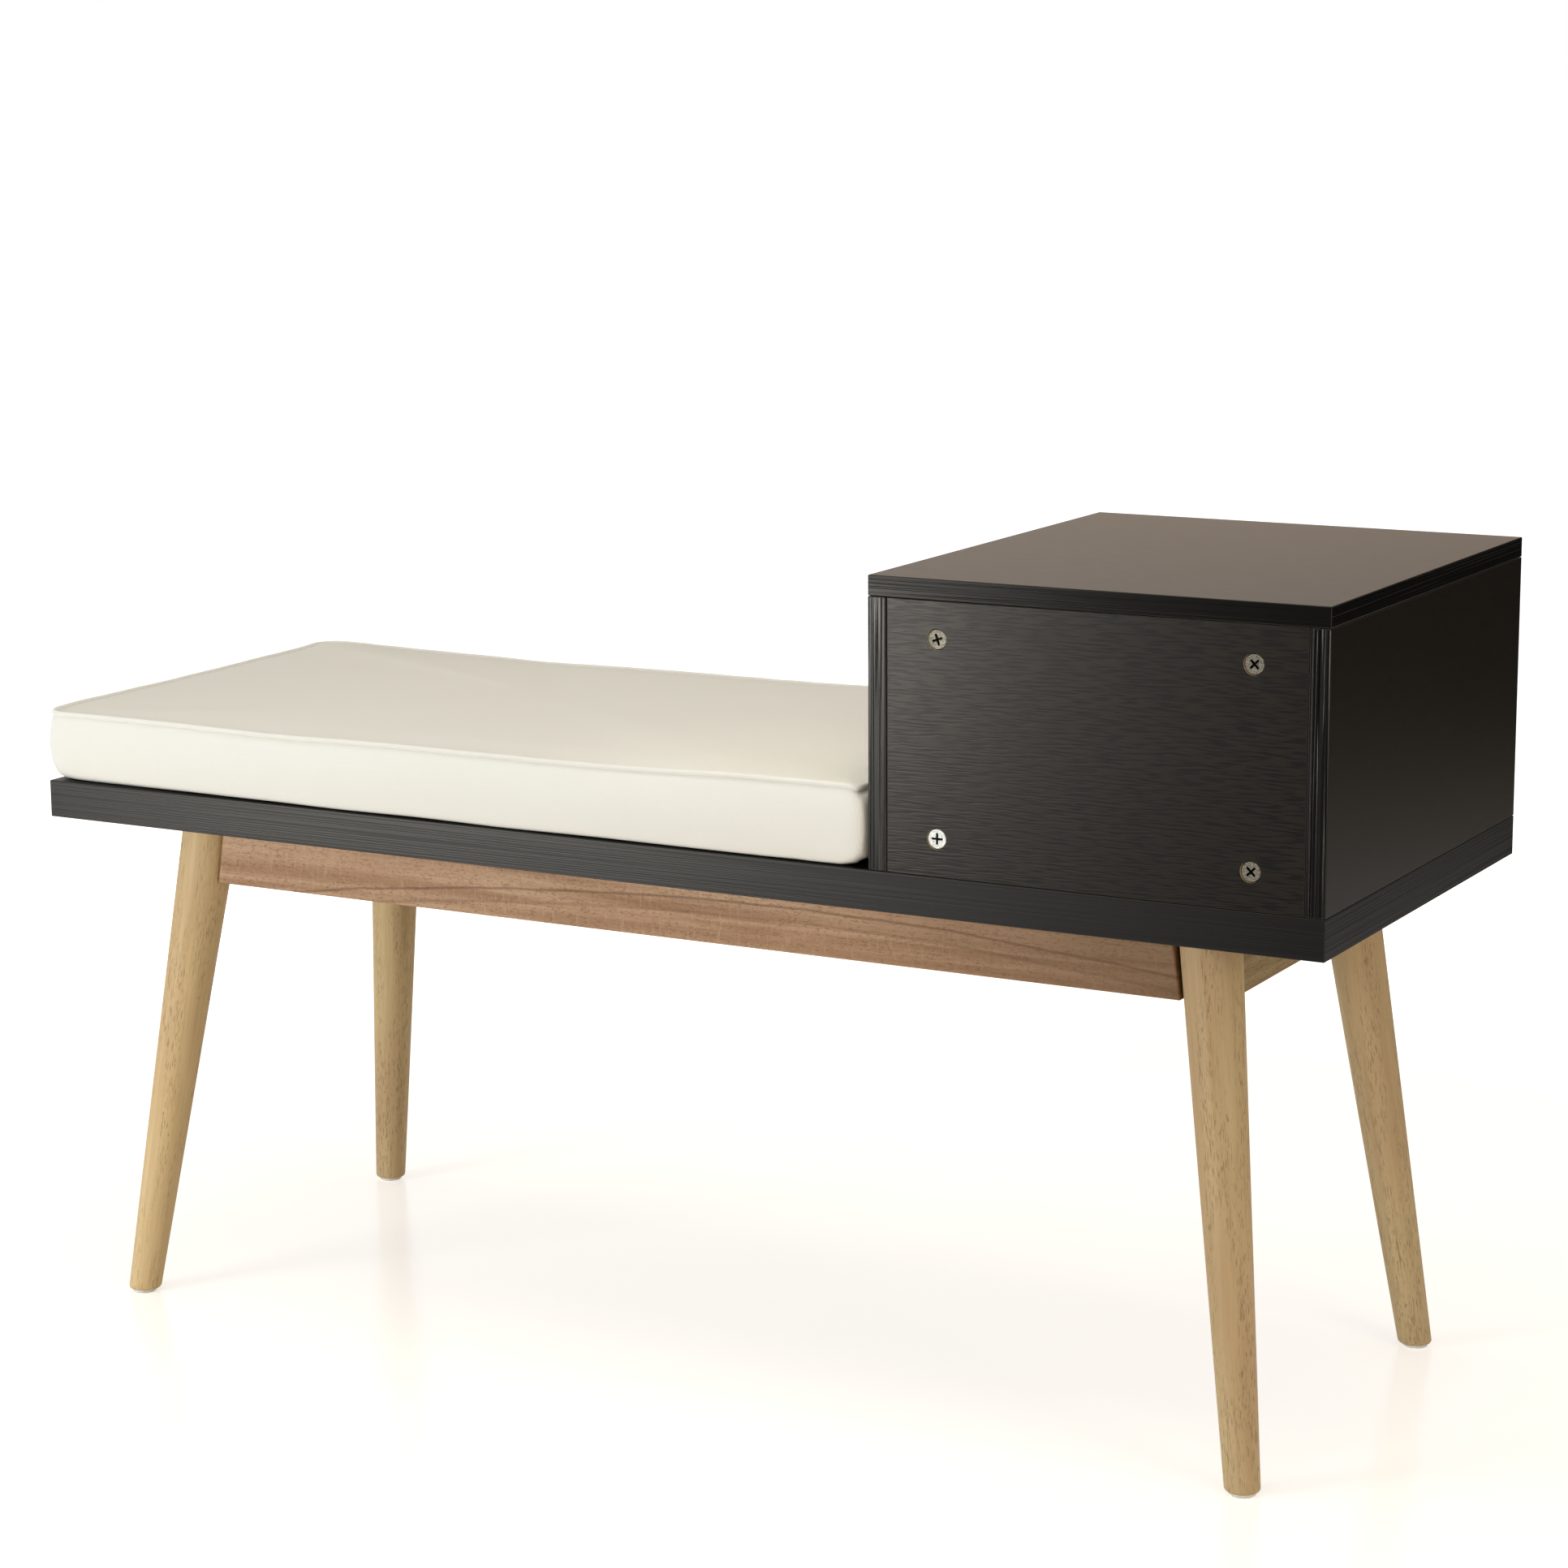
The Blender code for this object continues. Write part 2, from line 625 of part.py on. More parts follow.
def add_foot_glides(nylon):
    profile = [
        (GLIDE_RADIUS - GLIDE_EDGE, 0),
        (GLIDE_RADIUS, GLIDE_EDGE),
        (GLIDE_RADIUS, GLIDE_THICKNESS),
        (GLIDE_NAIL_RADIUS, GLIDE_THICKNESS),
        (GLIDE_NAIL_RADIUS, GLIDE_THICKNESS + GLIDE_NAIL - GLIDE_NAIL_RADIUS),
        (GLIDE_NAIL_RADIUS / 2, GLIDE_THICKNESS + GLIDE_NAIL),
    ]
    for x, y in CORNERS:
        foot = leg_point(x, y, 0)
        mesh = turned_mesh(profile, Matrix.Translation(foot))
        add_object("foot_glide_" + corner_name(x, y), mesh, nylon, foot)


def apron_outline(part):
    """An apron's face along x (part 0) or y (part 1): its ends lean with the legs that they meet."""
    low, high = [leg_axis(z)[part] - leg_reach(z)[part] - GAP for z in (Z_APRON, Z_UNDER - GAP)]
    return [(-low, Z_APRON), (low, Z_APRON), (high, Z_UNDER - GAP), (-high, Z_UNDER - GAP)]


def bracket_path():
    """The bracket's middle line in the corner of +x and +y, from its lip in the long apron."""
    axis = leg_axis(Z_BRACKET)
    diagonal = axis.x + axis.y - leg_to_plate() * math.sqrt(2)
    inset = APRON_THICKNESS / 2 + GAP + PLATE / 2
    x = APRON_LINE.x - inset
    y = APRON_LINE.y - inset
    return [
        (diagonal - y - BRACKET_FLANGE, y + BRACKET_LIP),
        (diagonal - y - BRACKET_FLANGE, y),
        (diagonal - y, y),
        (x, diagonal - x),
        (x, diagonal - x - BRACKET_FLANGE),
        (x + BRACKET_LIP, diagonal - x - BRACKET_FLANGE),
    ]


def add_kerf(holes, part, lip, sign_along, sign_across):
    """A saw kerf over an apron's whole height, for a bracket's lip that ends at lip."""
    along = sign_along * lip[part]
    inner = APRON_LINE[1 - part] - APRON_THICKNESS / 2
    across = sorted((sign_across * (inner - CUT_MARGIN), sign_across * (lip[1 - part] + GAP)))
    half = PLATE / 2 + GAP
    low = [along - half, across[0]]
    high = [along + half, across[1]]
    if part:
        low.reverse()
        high.reverse()
    box_mesh((*low, Z_APRON - CUT_MARGIN), (*high, Z_UNDER + CUT_MARGIN), holes)


def add_long_aprons(walnut):
    for y, name in ((-1, "front_apron"), (1, "back_apron")):
        middle = y * APRON_LINE.y
        half = APRON_THICKNESS / 2
        outline = apron_outline(0)
        mesh = prism_mesh(outline, middle - half, middle + half, lambda a, b, c: Vector((a, c, b)))
        apron = add_object(name, mesh, walnut, (0, middle, Z_BRACKET))
        soften(apron, APRON_EDGE)
        holes = bmesh.new()
        for x in (-1, 1):
            apron_screw_hole(x * APRON_SCREW_X, middle, holes)
            add_kerf(holes, 0, bracket_path()[0], x, y)
        combine(apron, holes, "DIFFERENCE")


def add_end_aprons(walnut):
    for x, name in ((-1, "box_end_apron"), (1, "seat_end_apron")):
        middle = x * APRON_LINE.x
        half = APRON_THICKNESS / 2
        outline = apron_outline(1)
        mesh = prism_mesh(outline, middle - half, middle + half, lambda a, b, c: Vector((c, a, b)))
        apron = add_object(name, mesh, walnut, (middle, 0, Z_BRACKET))
        soften(apron, APRON_EDGE)
        holes = bmesh.new()
        for y in (-1, 1):
            add_kerf(holes, 1, bracket_path()[-1], y, x)
        combine(apron, holes, "DIFFERENCE")


def add_corner_brackets(steel):
    outline = ribbon_outline(bracket_path(), PLATE)
    low = Z_BRACKET - BRACKET_HEIGHT / 2
    high = Z_BRACKET + BRACKET_HEIGHT / 2
    for x, y in CORNERS:
        mesh = prism_mesh(outline, low, high, lambda a, b, c, x=x, y=y: Vector((x * a, y * b, c)))
        place = bolt_frame(x, y)
        plate = place @ Vector((0, 0, leg_to_plate()))
        bracket = add_object("corner_bracket_" + corner_name(x, y), mesh, steel, plate)
        start = place @ Vector((0, 0, leg_to_plate() - PLATE))
        end = place @ Vector((0, 0, leg_to_plate() + PLATE))
        combine(bracket, rod_mesh(start, end, BOLT_RADIUS + GAP), "DIFFERENCE")


def add_leg_bolts(steel):
    seat = leg_to_plate() + PLATE / 2 + GAP
    profile = [
        (BOLT_RADIUS - BOLT_EDGE, -BOLT_PAST),
        (BOLT_RADIUS, -BOLT_PAST + BOLT_EDGE),
        (BOLT_RADIUS, seat),
        (BOLT_HEAD_RADIUS, seat),
        (BOLT_HEAD_RADIUS, seat + BOLT_HEAD - BOLT_EDGE),
        (BOLT_HEAD_RADIUS - BOLT_EDGE, seat + BOLT_HEAD),
    ]
    for x, y in CORNERS:
        place = bolt_frame(x, y)
        mesh = turned_mesh(profile, place)
        bolt = add_object("leg_bolt_" + corner_name(x, y), mesh, steel, leg_point(x, y, Z_BRACKET))
        socket_floor = place @ Vector((0, 0, seat + BOLT_HEAD - SOCKET_DEPTH))
        socket_mouth = place @ Vector((0, 0, seat + BOLT_HEAD + CUT_MARGIN))
        combine(bolt, rod_mesh(socket_floor, socket_mouth, SOCKET_RADIUS, sides=6), "DIFFERENCE")


def add_drawer_front(walnut, slide):
    low = (CASE_LEFT + REVEAL, -Y_EDGE, SEAT_HEIGHT + REVEAL)
    high = (CASE_RIGHT - REVEAL, Y_FRONT_INSIDE, Z_TOP - REVEAL)
    front = add_board("drawer_front", low, high, walnut, BOARD_EDGE, slide)
    middle = (CASE_LEFT + CASE_RIGHT) / 2
    radius = (NOTCH_WIDTH**2 / 4 + NOTCH_DEPTH**2) / (2 * NOTCH_DEPTH)
    centre_z = Z_TOP - REVEAL - NOTCH_DEPTH + radius
    start = (middle, -Y_EDGE - CUT_MARGIN, centre_z)
    end = (middle, Y_FRONT_INSIDE + CUT_MARGIN, centre_z)
    combine(front, rod_mesh(start, end, radius, sides=NOTCH_SIDES), "DIFFERENCE")
    half = bottom_half_width() + GAP
    groove_low = (middle - half, Y_FRONT_INSIDE - GROOVE_DEPTH, Z_GROOVE)
    groove_high = (middle + half, Y_FRONT_INSIDE + CUT_MARGIN, Z_DRAWER_FLOOR + GAP)
    combine(front, box_mesh(groove_low, groove_high), "DIFFERENCE")


def bottom_half_width():
    """Half the width of the drawer's bottom, which lies in grooves in the drawer's sides."""
    return (CASE_RIGHT - CASE_LEFT) / 2 - RUNNER_GAP - DRAWER_SIDE + GROOVE_DEPTH - GAP


def add_drawer_sides(pine, slide):
    for side in (-1, 1):
        outer = CASE_LEFT + RUNNER_GAP if side < 0 else CASE_RIGHT - RUNNER_GAP
        inner = outer - side * DRAWER_SIDE
        low = (min(outer, inner), Y_FRONT_INSIDE + GAP, Z_DRAWER)
        high = (max(outer, inner), Y_DRAWER_END, Z_DRAWER + DRAWER_SIDE_HEIGHT)
        panel = add_board("drawer_side_" + side_name(side), low, high, pine, BOARD_EDGE, slide)
        edges = sorted((inner + side * GROOVE_DEPTH, inner - side * CUT_MARGIN))
        groove_low = (edges[0], Y_FRONT_INSIDE - CUT_MARGIN, Z_GROOVE)
        groove_high = (edges[1], Y_DRAWER_END + CUT_MARGIN, Z_DRAWER_FLOOR + GAP)
        combine(panel, box_mesh(groove_low, groove_high), "DIFFERENCE")


def add_drawer_back(pine, slide):
    inside = RUNNER_GAP + DRAWER_SIDE + GAP
    low = (CASE_LEFT + inside, Y_DRAWER_END - DRAWER_BACK, Z_DRAWER_FLOOR + GAP)
    high = (CASE_RIGHT - inside, Y_DRAWER_END, Z_DRAWER + DRAWER_SIDE_HEIGHT)
    add_board("drawer_back", low, high, pine, BOARD_EDGE, slide)


def add_drawer_bottom(board, slide):
    middle = (CASE_LEFT + CASE_RIGHT) / 2
    half = bottom_half_width()
    low = (middle - half, Y_FRONT_INSIDE - GROOVE_DEPTH + GAP, Z_GROOVE + GAP)
    high = (middle + half, Y_DRAWER_END, Z_DRAWER_FLOOR)
    add_object("drawer_bottom", box_mesh(low, high), board, (Vector(low) + Vector(high)) / 2, slide)


def runner_x(side, out):
    """The x of a point that lies out from the box's side on that side of the drawer."""
    return CASE_LEFT + out if side < 0 else CASE_RIGHT - out


def case_axle(side):
    y = Y_FRONT_INSIDE + CASE_RAIL_SETBACK + ROLLER_INSET
    return Vector((runner_x(side, GAP + SHEET), y, Z_FLANGE - GAP - ROLLER_RADIUS))


def drawer_axle(side):
    z = Z_DRAWER + SHEET + GAP + ROLLER_RADIUS
    return Vector((runner_x(side, RUNNER_GAP - GAP - SHEET), Y_DRAWER_END - ROLLER_INSET, z))


def axle_mesh(place):
    """A riveted axle that rises from a rail's web, with the head that keeps its roller on."""
    shoulder = 2 * ROLLER_SIDE_GAP + ROLLER_WIDTH
    profile = [
        (AXLE_RADIUS, -SHEET / 2),
        (AXLE_RADIUS, shoulder),
        (AXLE_HEAD_RADIUS, shoulder),
        (AXLE_HEAD_RADIUS, shoulder + AXLE_HEAD),
    ]
    return turned_mesh(profile, place)


def add_case_rails(coated):
    """Channels on the box's sides, each with its front axle and two fixing screws' heads."""
    start = Y_FRONT_INSIDE + CASE_RAIL_SETBACK
    end = Y_EDGE - BOARD - CASE_RAIL_REAR_GAP
    low = Z_DRAWER
    high = Z_FLANGE + 2 * SHEET + GAP
    outline = [
        (GAP, low),
        (CASE_FLANGE, low),
        (CASE_FLANGE, low + SHEET),
        (GAP + SHEET, low + SHEET),
        (GAP + SHEET, high - SHEET),
        (CASE_FLANGE, high - SHEET),
        (CASE_FLANGE, high),
        (GAP, high),
    ]
    for side in (-1, 1):
        mesh = prism_mesh(
            outline, start, end, lambda a, b, c, side=side: Vector((runner_x(side, a), c, b))
        )
        origin = (runner_x(side, GAP), start, low)
        rail = add_object("case_rail_" + side_name(side), mesh, coated, origin)
        combine(rail, axle_mesh(frame_along(case_axle(side), (-side, 0, 0))), "UNION")
        heads = bmesh.new()
        for y in (start + RAIL_SCREW_INSET, end - RAIL_SCREW_INSET):
            web = Vector((runner_x(side, GAP + SHEET / 2), y, (low + high) / 2))
            tip = web - Vector((side * (SHEET / 2 + RAIL_SCREW_HEAD), 0, 0))
            rod_mesh(web, tip, RAIL_SCREW_RADIUS, heads)
        combine(rail, heads, "UNION")


def add_drawer_rails(coated, slide):
    """Angles under the drawer's sides, whose upper flanges run on the case rollers."""
    web = RUNNER_GAP - GAP
    under = Z_DRAWER - GAP
    outline = [
        (web - SHEET, under - SHEET),
        (RUNNER_GAP + DRAWER_SIDE, under - SHEET),
        (RUNNER_GAP + DRAWER_SIDE, under),
        (web, under),
        (web, Z_FLANGE + SHEET),
        (web - SHEET - DRAWER_FLANGE, Z_FLANGE + SHEET),
        (web - SHEET - DRAWER_FLANGE, Z_FLANGE),
        (web - SHEET, Z_FLANGE),
    ]
    for side in (-1, 1):
        mesh = prism_mesh(
            outline,
            Y_FRONT_INSIDE + GAP,
            Y_DRAWER_END,
            lambda a, b, c, side=side: Vector((runner_x(side, a), c, b)),
        )
        origin = (runner_x(side, RUNNER_GAP), Y_FRONT_INSIDE, under)
        rail = add_object("drawer_rail_" + side_name(side), mesh, coated, origin, slide)
        combine(rail, axle_mesh(frame_along(drawer_axle(side), (side, 0, 0))), "UNION")


def add_rollers(nylon, slide):
    """Rollers on the rails' axles, turning about x."""
    bore = AXLE_RADIUS + GAP
    low = ROLLER_SIDE_GAP
    high = low + ROLLER_WIDTH
    profile = [
        (bore, low),
        (ROLLER_RADIUS - ROLLER_EDGE, low),
        (ROLLER_RADIUS, low + ROLLER_EDGE),
        (ROLLER_RADIUS, high - ROLLER_EDGE),
        (ROLLER_RADIUS - ROLLER_EDGE, high),
        (bore, high),
    ]
    for side in (-1, 1):
        case = turned_mesh(profile, frame_along(case_axle(side), (-side, 0, 0)), None, ROLLER_SIDES, True)
        add_object("case_roller_" + side_name(side), case, nylon, case_axle(side))
        moving = turned_mesh(profile, frame_along(drawer_axle(side), (side, 0, 0)), None, ROLLER_SIDES, True)
        add_object("drawer_roller_" + side_name(side), moving, nylon, drawer_axle(side), slide)


def add_drawer(walnut, pine, hardboard, coated, nylon):
    slide = add_empty("drawer_slide", ((CASE_LEFT + CASE_RIGHT) / 2, -Y_EDGE, SEAT_HEIGHT))
    add_drawer_front(walnut, slide)
    add_drawer_sides(pine, slide)
    add_drawer_back(pine, slide)
    add_drawer_bottom(hardboard, slide)
    add_drawer_rails(coated, slide)
    add_rollers(nylon, slide)


def cushion_outline(half_x, half_y, inset):
    """The cushion's plan, anticlockwise: straight sides drawn in at their middles, round corners."""
    points = []
    radius = CUSHION_CORNER - inset
    flat_x = half_x - CUSHION_CORNER
    flat_y = half_y - CUSHION_CORNER
    sides = [(flat_x, flat_y, CUSHION_SHORT_STEPS), (flat_y, flat_x, CUSHION_LONG_STEPS)] * 2
    for quarter, (out, along, steps) in enumerate(sides):
        turn = Matrix.Rotation(quarter * math.pi / 2, 2)
        for step in range(steps):
            share = 2 * step / steps - 1
            drawn = CUSHION_DRAW_IN * (1 - share * share)
            points.append(turn @ Vector((out + radius - drawn, along * share)))
        for step in range(CUSHION_CORNER_STEPS):
            angle = math.pi / 2 * step / CUSHION_CORNER_STEPS
            corner = Vector((out + radius * math.cos(angle), along + radius * math.sin(angle)))
            points.append(turn @ corner)
    return points


def add_cushion(canvas):
    """A boxed cushion: flat below, bulging sides, piping round the upper edge, a crowned top."""
    low_x = BOX_RIGHT + CUSHION_BOX_GAP
    high_x = X_END - CUSHION_END_INSET
    half_x = (high_x - low_x) / 2
    half_y = Y_EDGE - CUSHION_EDGE_INSET
    centre = Vector(((low_x + high_x) / 2, 0, SEAT_HEIGHT + GAP))
    mesh = bmesh.new()
    seam = CUSHION_EDGE_HEIGHT - 2 * PIPING_RADIUS
    profile = []
    for step in range(CUSHION_SIDE_RINGS):
        share = step / CUSHION_SIDE_RINGS
        profile.append((CUSHION_BULGE * (2 * share - 1) ** 2, seam * share))
    for step in range(PIPING_RINGS + 1):
        angle = math.radians(PIPING_TURN * step / PIPING_RINGS - 90)
        inset = CUSHION_BULGE - PIPING_RADIUS * math.cos(angle)
        profile.append((inset, seam + PIPING_RADIUS * (1 + math.sin(angle))))
    rings = []
    for inset, height in profile:
        rings.append([(*point, height) for point in cushion_outline(half_x, half_y, inset)])
    inset, height = profile[-1]
    edge = cushion_outline(half_x, half_y, inset)
    for step in range(1, CUSHION_TOP_RINGS + 1):
        share = 1 - (1 - CUSHION_INNER_RING) * step / CUSHION_TOP_RINGS
        rise = CUSHION_CROWN * (1 - share * share)
        rings.append([(*(point * share), height + rise) for point in edge])
    loops = [[mesh.verts.new(centre + Vector(point)) for point in ring] for ring in rings]
    mesh.faces.new(loops[0])
    mesh.faces.new(loops[-1])
    count = len(loops[0])
    for below, above in zip(loops, loops[1:]):
        for step in range(count):
            after = (step + 1) % count
            mesh.faces.new((below[step], below[after], above[after], above[step]))
    add_object("seat_cushion", mesh, canvas, centre)


def build():
    clear_scene()
    black = finish("black_woodgrain", linear(59, 57, 54), 0.45)
    oak = finish("natural_oak", linear(170, 143, 106), 0.55)
    walnut = finish("walnut", linear(162, 129, 101), 0.5)
    canvas = finish("cream_canvas", linear(228, 222, 206), 0.9)
    zinc = finish("zinc", linear(172, 170, 164), 0.4, 1.0)
    steel = finish("steel", linear(186, 186, 184), 0.35, 1.0)
    coated = finish("coated_steel", linear(224, 222, 212), 0.4)
    nylon = finish("white_nylon", linear(235, 234, 228), 0.45)
    beech = finish("beech", linear(203, 170, 128), 0.6)
    pine = finish("drawer_board", linear(214, 203, 184), 0.6)
    hardboard = finish("hardboard", linear(150, 118, 84), 0.7)
    add_seat_board(black)
    add_box_sides(black)
    add_box_top(black)
    add_box_back(black)
    add_cam_locks(zinc)
    add_cam_bolts(steel)
    add_top_dowels(beech)
    add_screws(steel)
    add_legs(oak)
    add_foot_glides(nylon)
    add_long_aprons(walnut)
    add_end_aprons(walnut)
    add_corner_brackets(steel)
    add_leg_bolts(steel)
    add_case_rails(coated)
    add_drawer(walnut, pine, hardboard, coated, nylon)
    add_cushion(canvas)


build()
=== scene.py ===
"""Looks for the entry bench: node materials, a sewn cushion, smooth legs and a plain studio.

Everything is in metres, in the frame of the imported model: the floor is z = 0, the box is at -x and
its closed back, which the camera sees, faces +y. Surface colours are display values of 0 to 255. A
grain is a pair of noise scales, along its lines and across them.
"""

import math

import bmesh
import bpy
from mathutils import Matrix, Vector, noise
from mathutils.bvhtree import BVHTree


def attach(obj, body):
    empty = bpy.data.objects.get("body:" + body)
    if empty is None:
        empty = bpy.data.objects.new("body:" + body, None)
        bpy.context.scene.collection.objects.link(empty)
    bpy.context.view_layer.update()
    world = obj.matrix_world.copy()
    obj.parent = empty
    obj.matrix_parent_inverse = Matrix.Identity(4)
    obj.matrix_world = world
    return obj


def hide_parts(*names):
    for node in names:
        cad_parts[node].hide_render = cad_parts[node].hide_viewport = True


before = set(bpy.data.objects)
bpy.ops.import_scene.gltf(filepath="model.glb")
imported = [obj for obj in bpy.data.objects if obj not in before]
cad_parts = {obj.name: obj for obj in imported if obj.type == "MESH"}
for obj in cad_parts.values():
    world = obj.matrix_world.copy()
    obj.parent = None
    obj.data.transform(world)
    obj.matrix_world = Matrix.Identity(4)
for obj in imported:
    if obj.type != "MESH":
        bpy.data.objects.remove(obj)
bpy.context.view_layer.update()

# Axes by number
X, Y, Z = range(3)

# The CAD model's sizes that the dressed pieces repeat
X_END = 0.550
Y_EDGE = 0.200
SEAT_TOP = 0.430
SEAT_UNDER = 0.400
BOX_RIGHT = -0.200
CASE_MIDDLE_X = -0.375
CASE_MIDDLE_Z = 0.530
CAM_REACH_X = 0.120
CAM_REACH_Z = 0.072
CAM_RADIUS = 0.0075
CAM_FACE = Y_EDGE - 0.0010
APRON_MIDDLE_Z = 0.3735
APRON_HEIGHT = 0.053
DRAWER_FRONT_HEIGHT = 0.19

# Angles in degrees above which edges stay sharp
PIECE_SMOOTH = 60
LEG_SMOOTH = 40

# Legs, with their insets from the seat's ends and edges
LEG_TOP_INSET = Vector((0.112, 0.068))
LEG_FOOT_INSET = Vector((0.0605, 0.0200))
LEG_TOP_RADIUS = 0.0228
LEG_FOOT_RADIUS = 0.0130
LEG_LOW = 0.0028
LEG_HIGH = SEAT_UNDER - 0.0003
LEG_SIDES = 96
LEG_RINGS = 40
FOOT_ROUND = 0.0025
FOOT_RINGS = 6
# The corner of each leg and a factor on its oak: painted light and shade, lighter for the lit legs and
# darker for the shaded ones
LEG_PAINTED_LIGHT = ((-1, -1, 0.94), (1, -1, 1.0), (-1, 1, 0.96), (1, 1, 1.05))

# Cushion
CUSHION_LOW_X = BOX_RIGHT + 0.0008
CUSHION_HIGH_X = X_END + 0.0095
CUSHION_HALF_Y = Y_EDGE + 0.0035
CUSHION_FLOOR = SEAT_TOP + 0.0004
CUSHION_CENTRE = Vector(((CUSHION_LOW_X + CUSHION_HIGH_X) / 2, 0, CUSHION_FLOOR))
CUSHION_CROWN = 0.0055
CROWN_POWER_X = 3
CROWN_POWER_Y = 2.5
CUSHION_END_CORNER = 0.025
CUSHION_BOX_CORNER = 0.011
CUSHION_DRAW_IN = 0.0015
CUSHION_STEPS = 320
CUSHION_TOP_RINGS = 12
CUSHION_TOP_REACH = 0.92

# The top seam above the seat board, with its lifts at corners, rise to the box, sag and waves
SEAM_HEIGHT = 0.0565
SEAM_INSET = 0.0042
SEAM_LIFT_BOX = 0.0010
SEAM_LIFT_FRONT = 0.0018
SEAM_LIFT_BACK = -0.0006
SEAM_LIFT_POWER = 6
SEAM_RISE = 0.0042
SEAM_RISE_FROM = -0.10
SEAM_RISE_TO = -0.32
SEAM_SAG = 0.0018
SEAM_SAG_PLACE = 0.15
SEAM_SAG_WIDTH = 0.08
SEAM_WAVE = 0.0005
SEAM_WAVE_SCALE = 5
SEAM_WAVE_SEED = 3.1
SEAM_SEARCH_STEPS = 900
SEAM_SEARCH_HEIGHT = 0.0001

# Levels of the sides as shares of the seam's height, with their insets at mid length and at corners
CUSHION_SIDE = (
    (0.00, 0.0018, 0.0105),
    (0.04, 0.0010, 0.0074),
    (0.10, 0.0006, 0.0050),
    (0.20, 0.0004, 0.0027),
    (0.35, 0.0002, 0.0008),
    (0.50, 0.0000, 0.0000),
    (0.70, 0.0006, 0.0006),
    (0.85, 0.0020, 0.0020),
    (0.95, 0.0034, 0.0034),
    (1.00, SEAM_INSET, SEAM_INSET),
)
# Share of the corners' insets at the box, what the free end adds, and half the length between them
CORNER_SHARE_BOX = 0.45
CORNER_SHARE_ADDED = 0.55
CORNER_SHARE_REACH = 0.2

# The cover as cloth, with the most that it may move from the stuffed form
CUSHION_VOXEL = 0.005
CUSHION_CAP = 0.003
CUSHION_TOP_CAP = 0.0012
TOP_MARGIN = 0.001
HELD_HEIGHT = 0.002
CLOTH_FRAMES = 20
CLOTH_SETTINGS = {
    "quality": 5,
    "mass": 0.3,
    "tension_stiffness": 25,
    "compression_stiffness": 25,
    "shear_stiffness": 8,
    "bending_stiffness": 1.5,
    "use_pressure": True,
    "uniform_pressure_force": 4.0,
}

# Sewing: the tuck beside the box, the groove at the seam, its puckers and the ripples of the cloth
TUCK_DEPTH = 0.012
TUCK_WIDTH = 0.008
TUCK_OFFSET = Vector((0.002, -0.005, 0.001))
TUCK_INWARD = Vector((0.2, -0.95, -0.1)).normalized()
GROOVE_DEPTH = 0.0012
GROOVE_WIDTH = 0.0035
PUCKER_HEIGHT = 0.0004
PUCKER_FADE = 0.012
# Scale, seed and share of each noise in the puckers
PUCKERS = ((70, 1.7, 1.0), (160, 8.2, 0.5))
RIPPLE_HEIGHT = 0.0004
RIPPLE_SCALE = (9, 11, 22)

# The lower edge's lift off the seat board and how far in and up it reaches
EDGE_LIFT = 0.0003
EDGE_WAVE = 0.0006
EDGE_WAVE_SCALE = 13
EDGE_WAVE_SEED = 5.3
EDGE_REACH_IN = 0.018
EDGE_REACH_UP = 0.024
# Height, distance from the box and width of the lift beside the box and of the dip next to it
EDGE_BUMPS = ((0.0056, 0.002, 0.017), (-0.0020, 0.034, 0.014))

# Welt
WELT_RADIUS = 0.00225
WELT_PROUD = 0.6
WELT_STEPS = 720
WELT_SIDES = 12
WELT_SMOOTHINGS = 3

# Camera, fitted to the photograph's corners on a frame of 1932 by 1932
PHOTO_SIZE = 1932
CAMERA_PLACE = Vector((-1.471, 2.6344, 1.0315))
CAMERA_AZIMUTH = 28.83
CAMERA_ELEVATION = 11.31
CAMERA_ROLL = -0.36
CAMERA_FAR = 200
FOCAL_PIXELS = 4798
CENTRE_Y = 985
SENSOR = 36.0

# World: its light, and the directions between which the gloss finds the white backdrop
WHITE = (1, 1, 1, 1)
WORLD_LIGHT = 0.45
WORLD_COLOUR = (1.0, 0.95, 0.89, 1.0)
DARK_GLOSS = 0.08
BACKDROP_GLOSS = 0.70
BACKDROP_Y = (0.35, -0.55)
BACKDROP_X = (-0.2, 0.557)

# Floor, with the distances over which it darkens, loses its white in the gloss and glows white
FLOOR_SIZE = 60
FLOOR_NEAR = ((250, 238, 220), (252, 242, 226))
FLOOR_FAR = (58, 50, 43)
FLOOR_DARKENS = (2.2, 3.4)
FLOOR_GLOSS = 0.90
FLOOR_GLOSS_ENDS = (1.4, 2.6)
FLOOR_GLOW = (0.52, 0.53, 0.535, 1.0)
FLOOR_GLOW_RISES = (0.9, 1.6)

# Lamps: place, target, width and height, radiance of the face and linear colour
LAMPS = {
    "key": ((1.8, 2.6, 0.60), (0.1, 0.1, 0.45), (1.0, 0.8), 18.8, (0.885, 0.95, 1.0)),
    "fill": ((-2.1, 0.75, 0.55), (-0.3, 0, 0.3), (0.8, 0.7), 5.0, (1.0, 0.95, 0.87)),
    "top": ((-0.05, 0.25, 1.95), (-0.05, 0, 0.4), (1.4, 1.2), 1.80, (1.0, 0.945, 0.85)),
    "beam": ((-0.17, 0.22, 1.40), (-0.17, 0.17, 0.49), (0.2, 0.2), 0.42, (1.0, 0.955, 0.74)),
    "side_card": ((1.7, 2.65, 0.15), (0.1, 0.1, 0.45), (1.1, 0.6), 112.0, (1.0, 0.945, 0.865)),
    "warm_card": ((1.3, -3.0, 0.7), (0, 0, 0.6), (2.6, 1.0), 0.7, (1.0, 0.55, 0.18)),
}
BEAM_SPREAD = 34
GLOSS_CARDS = ("side_card", "warm_card")

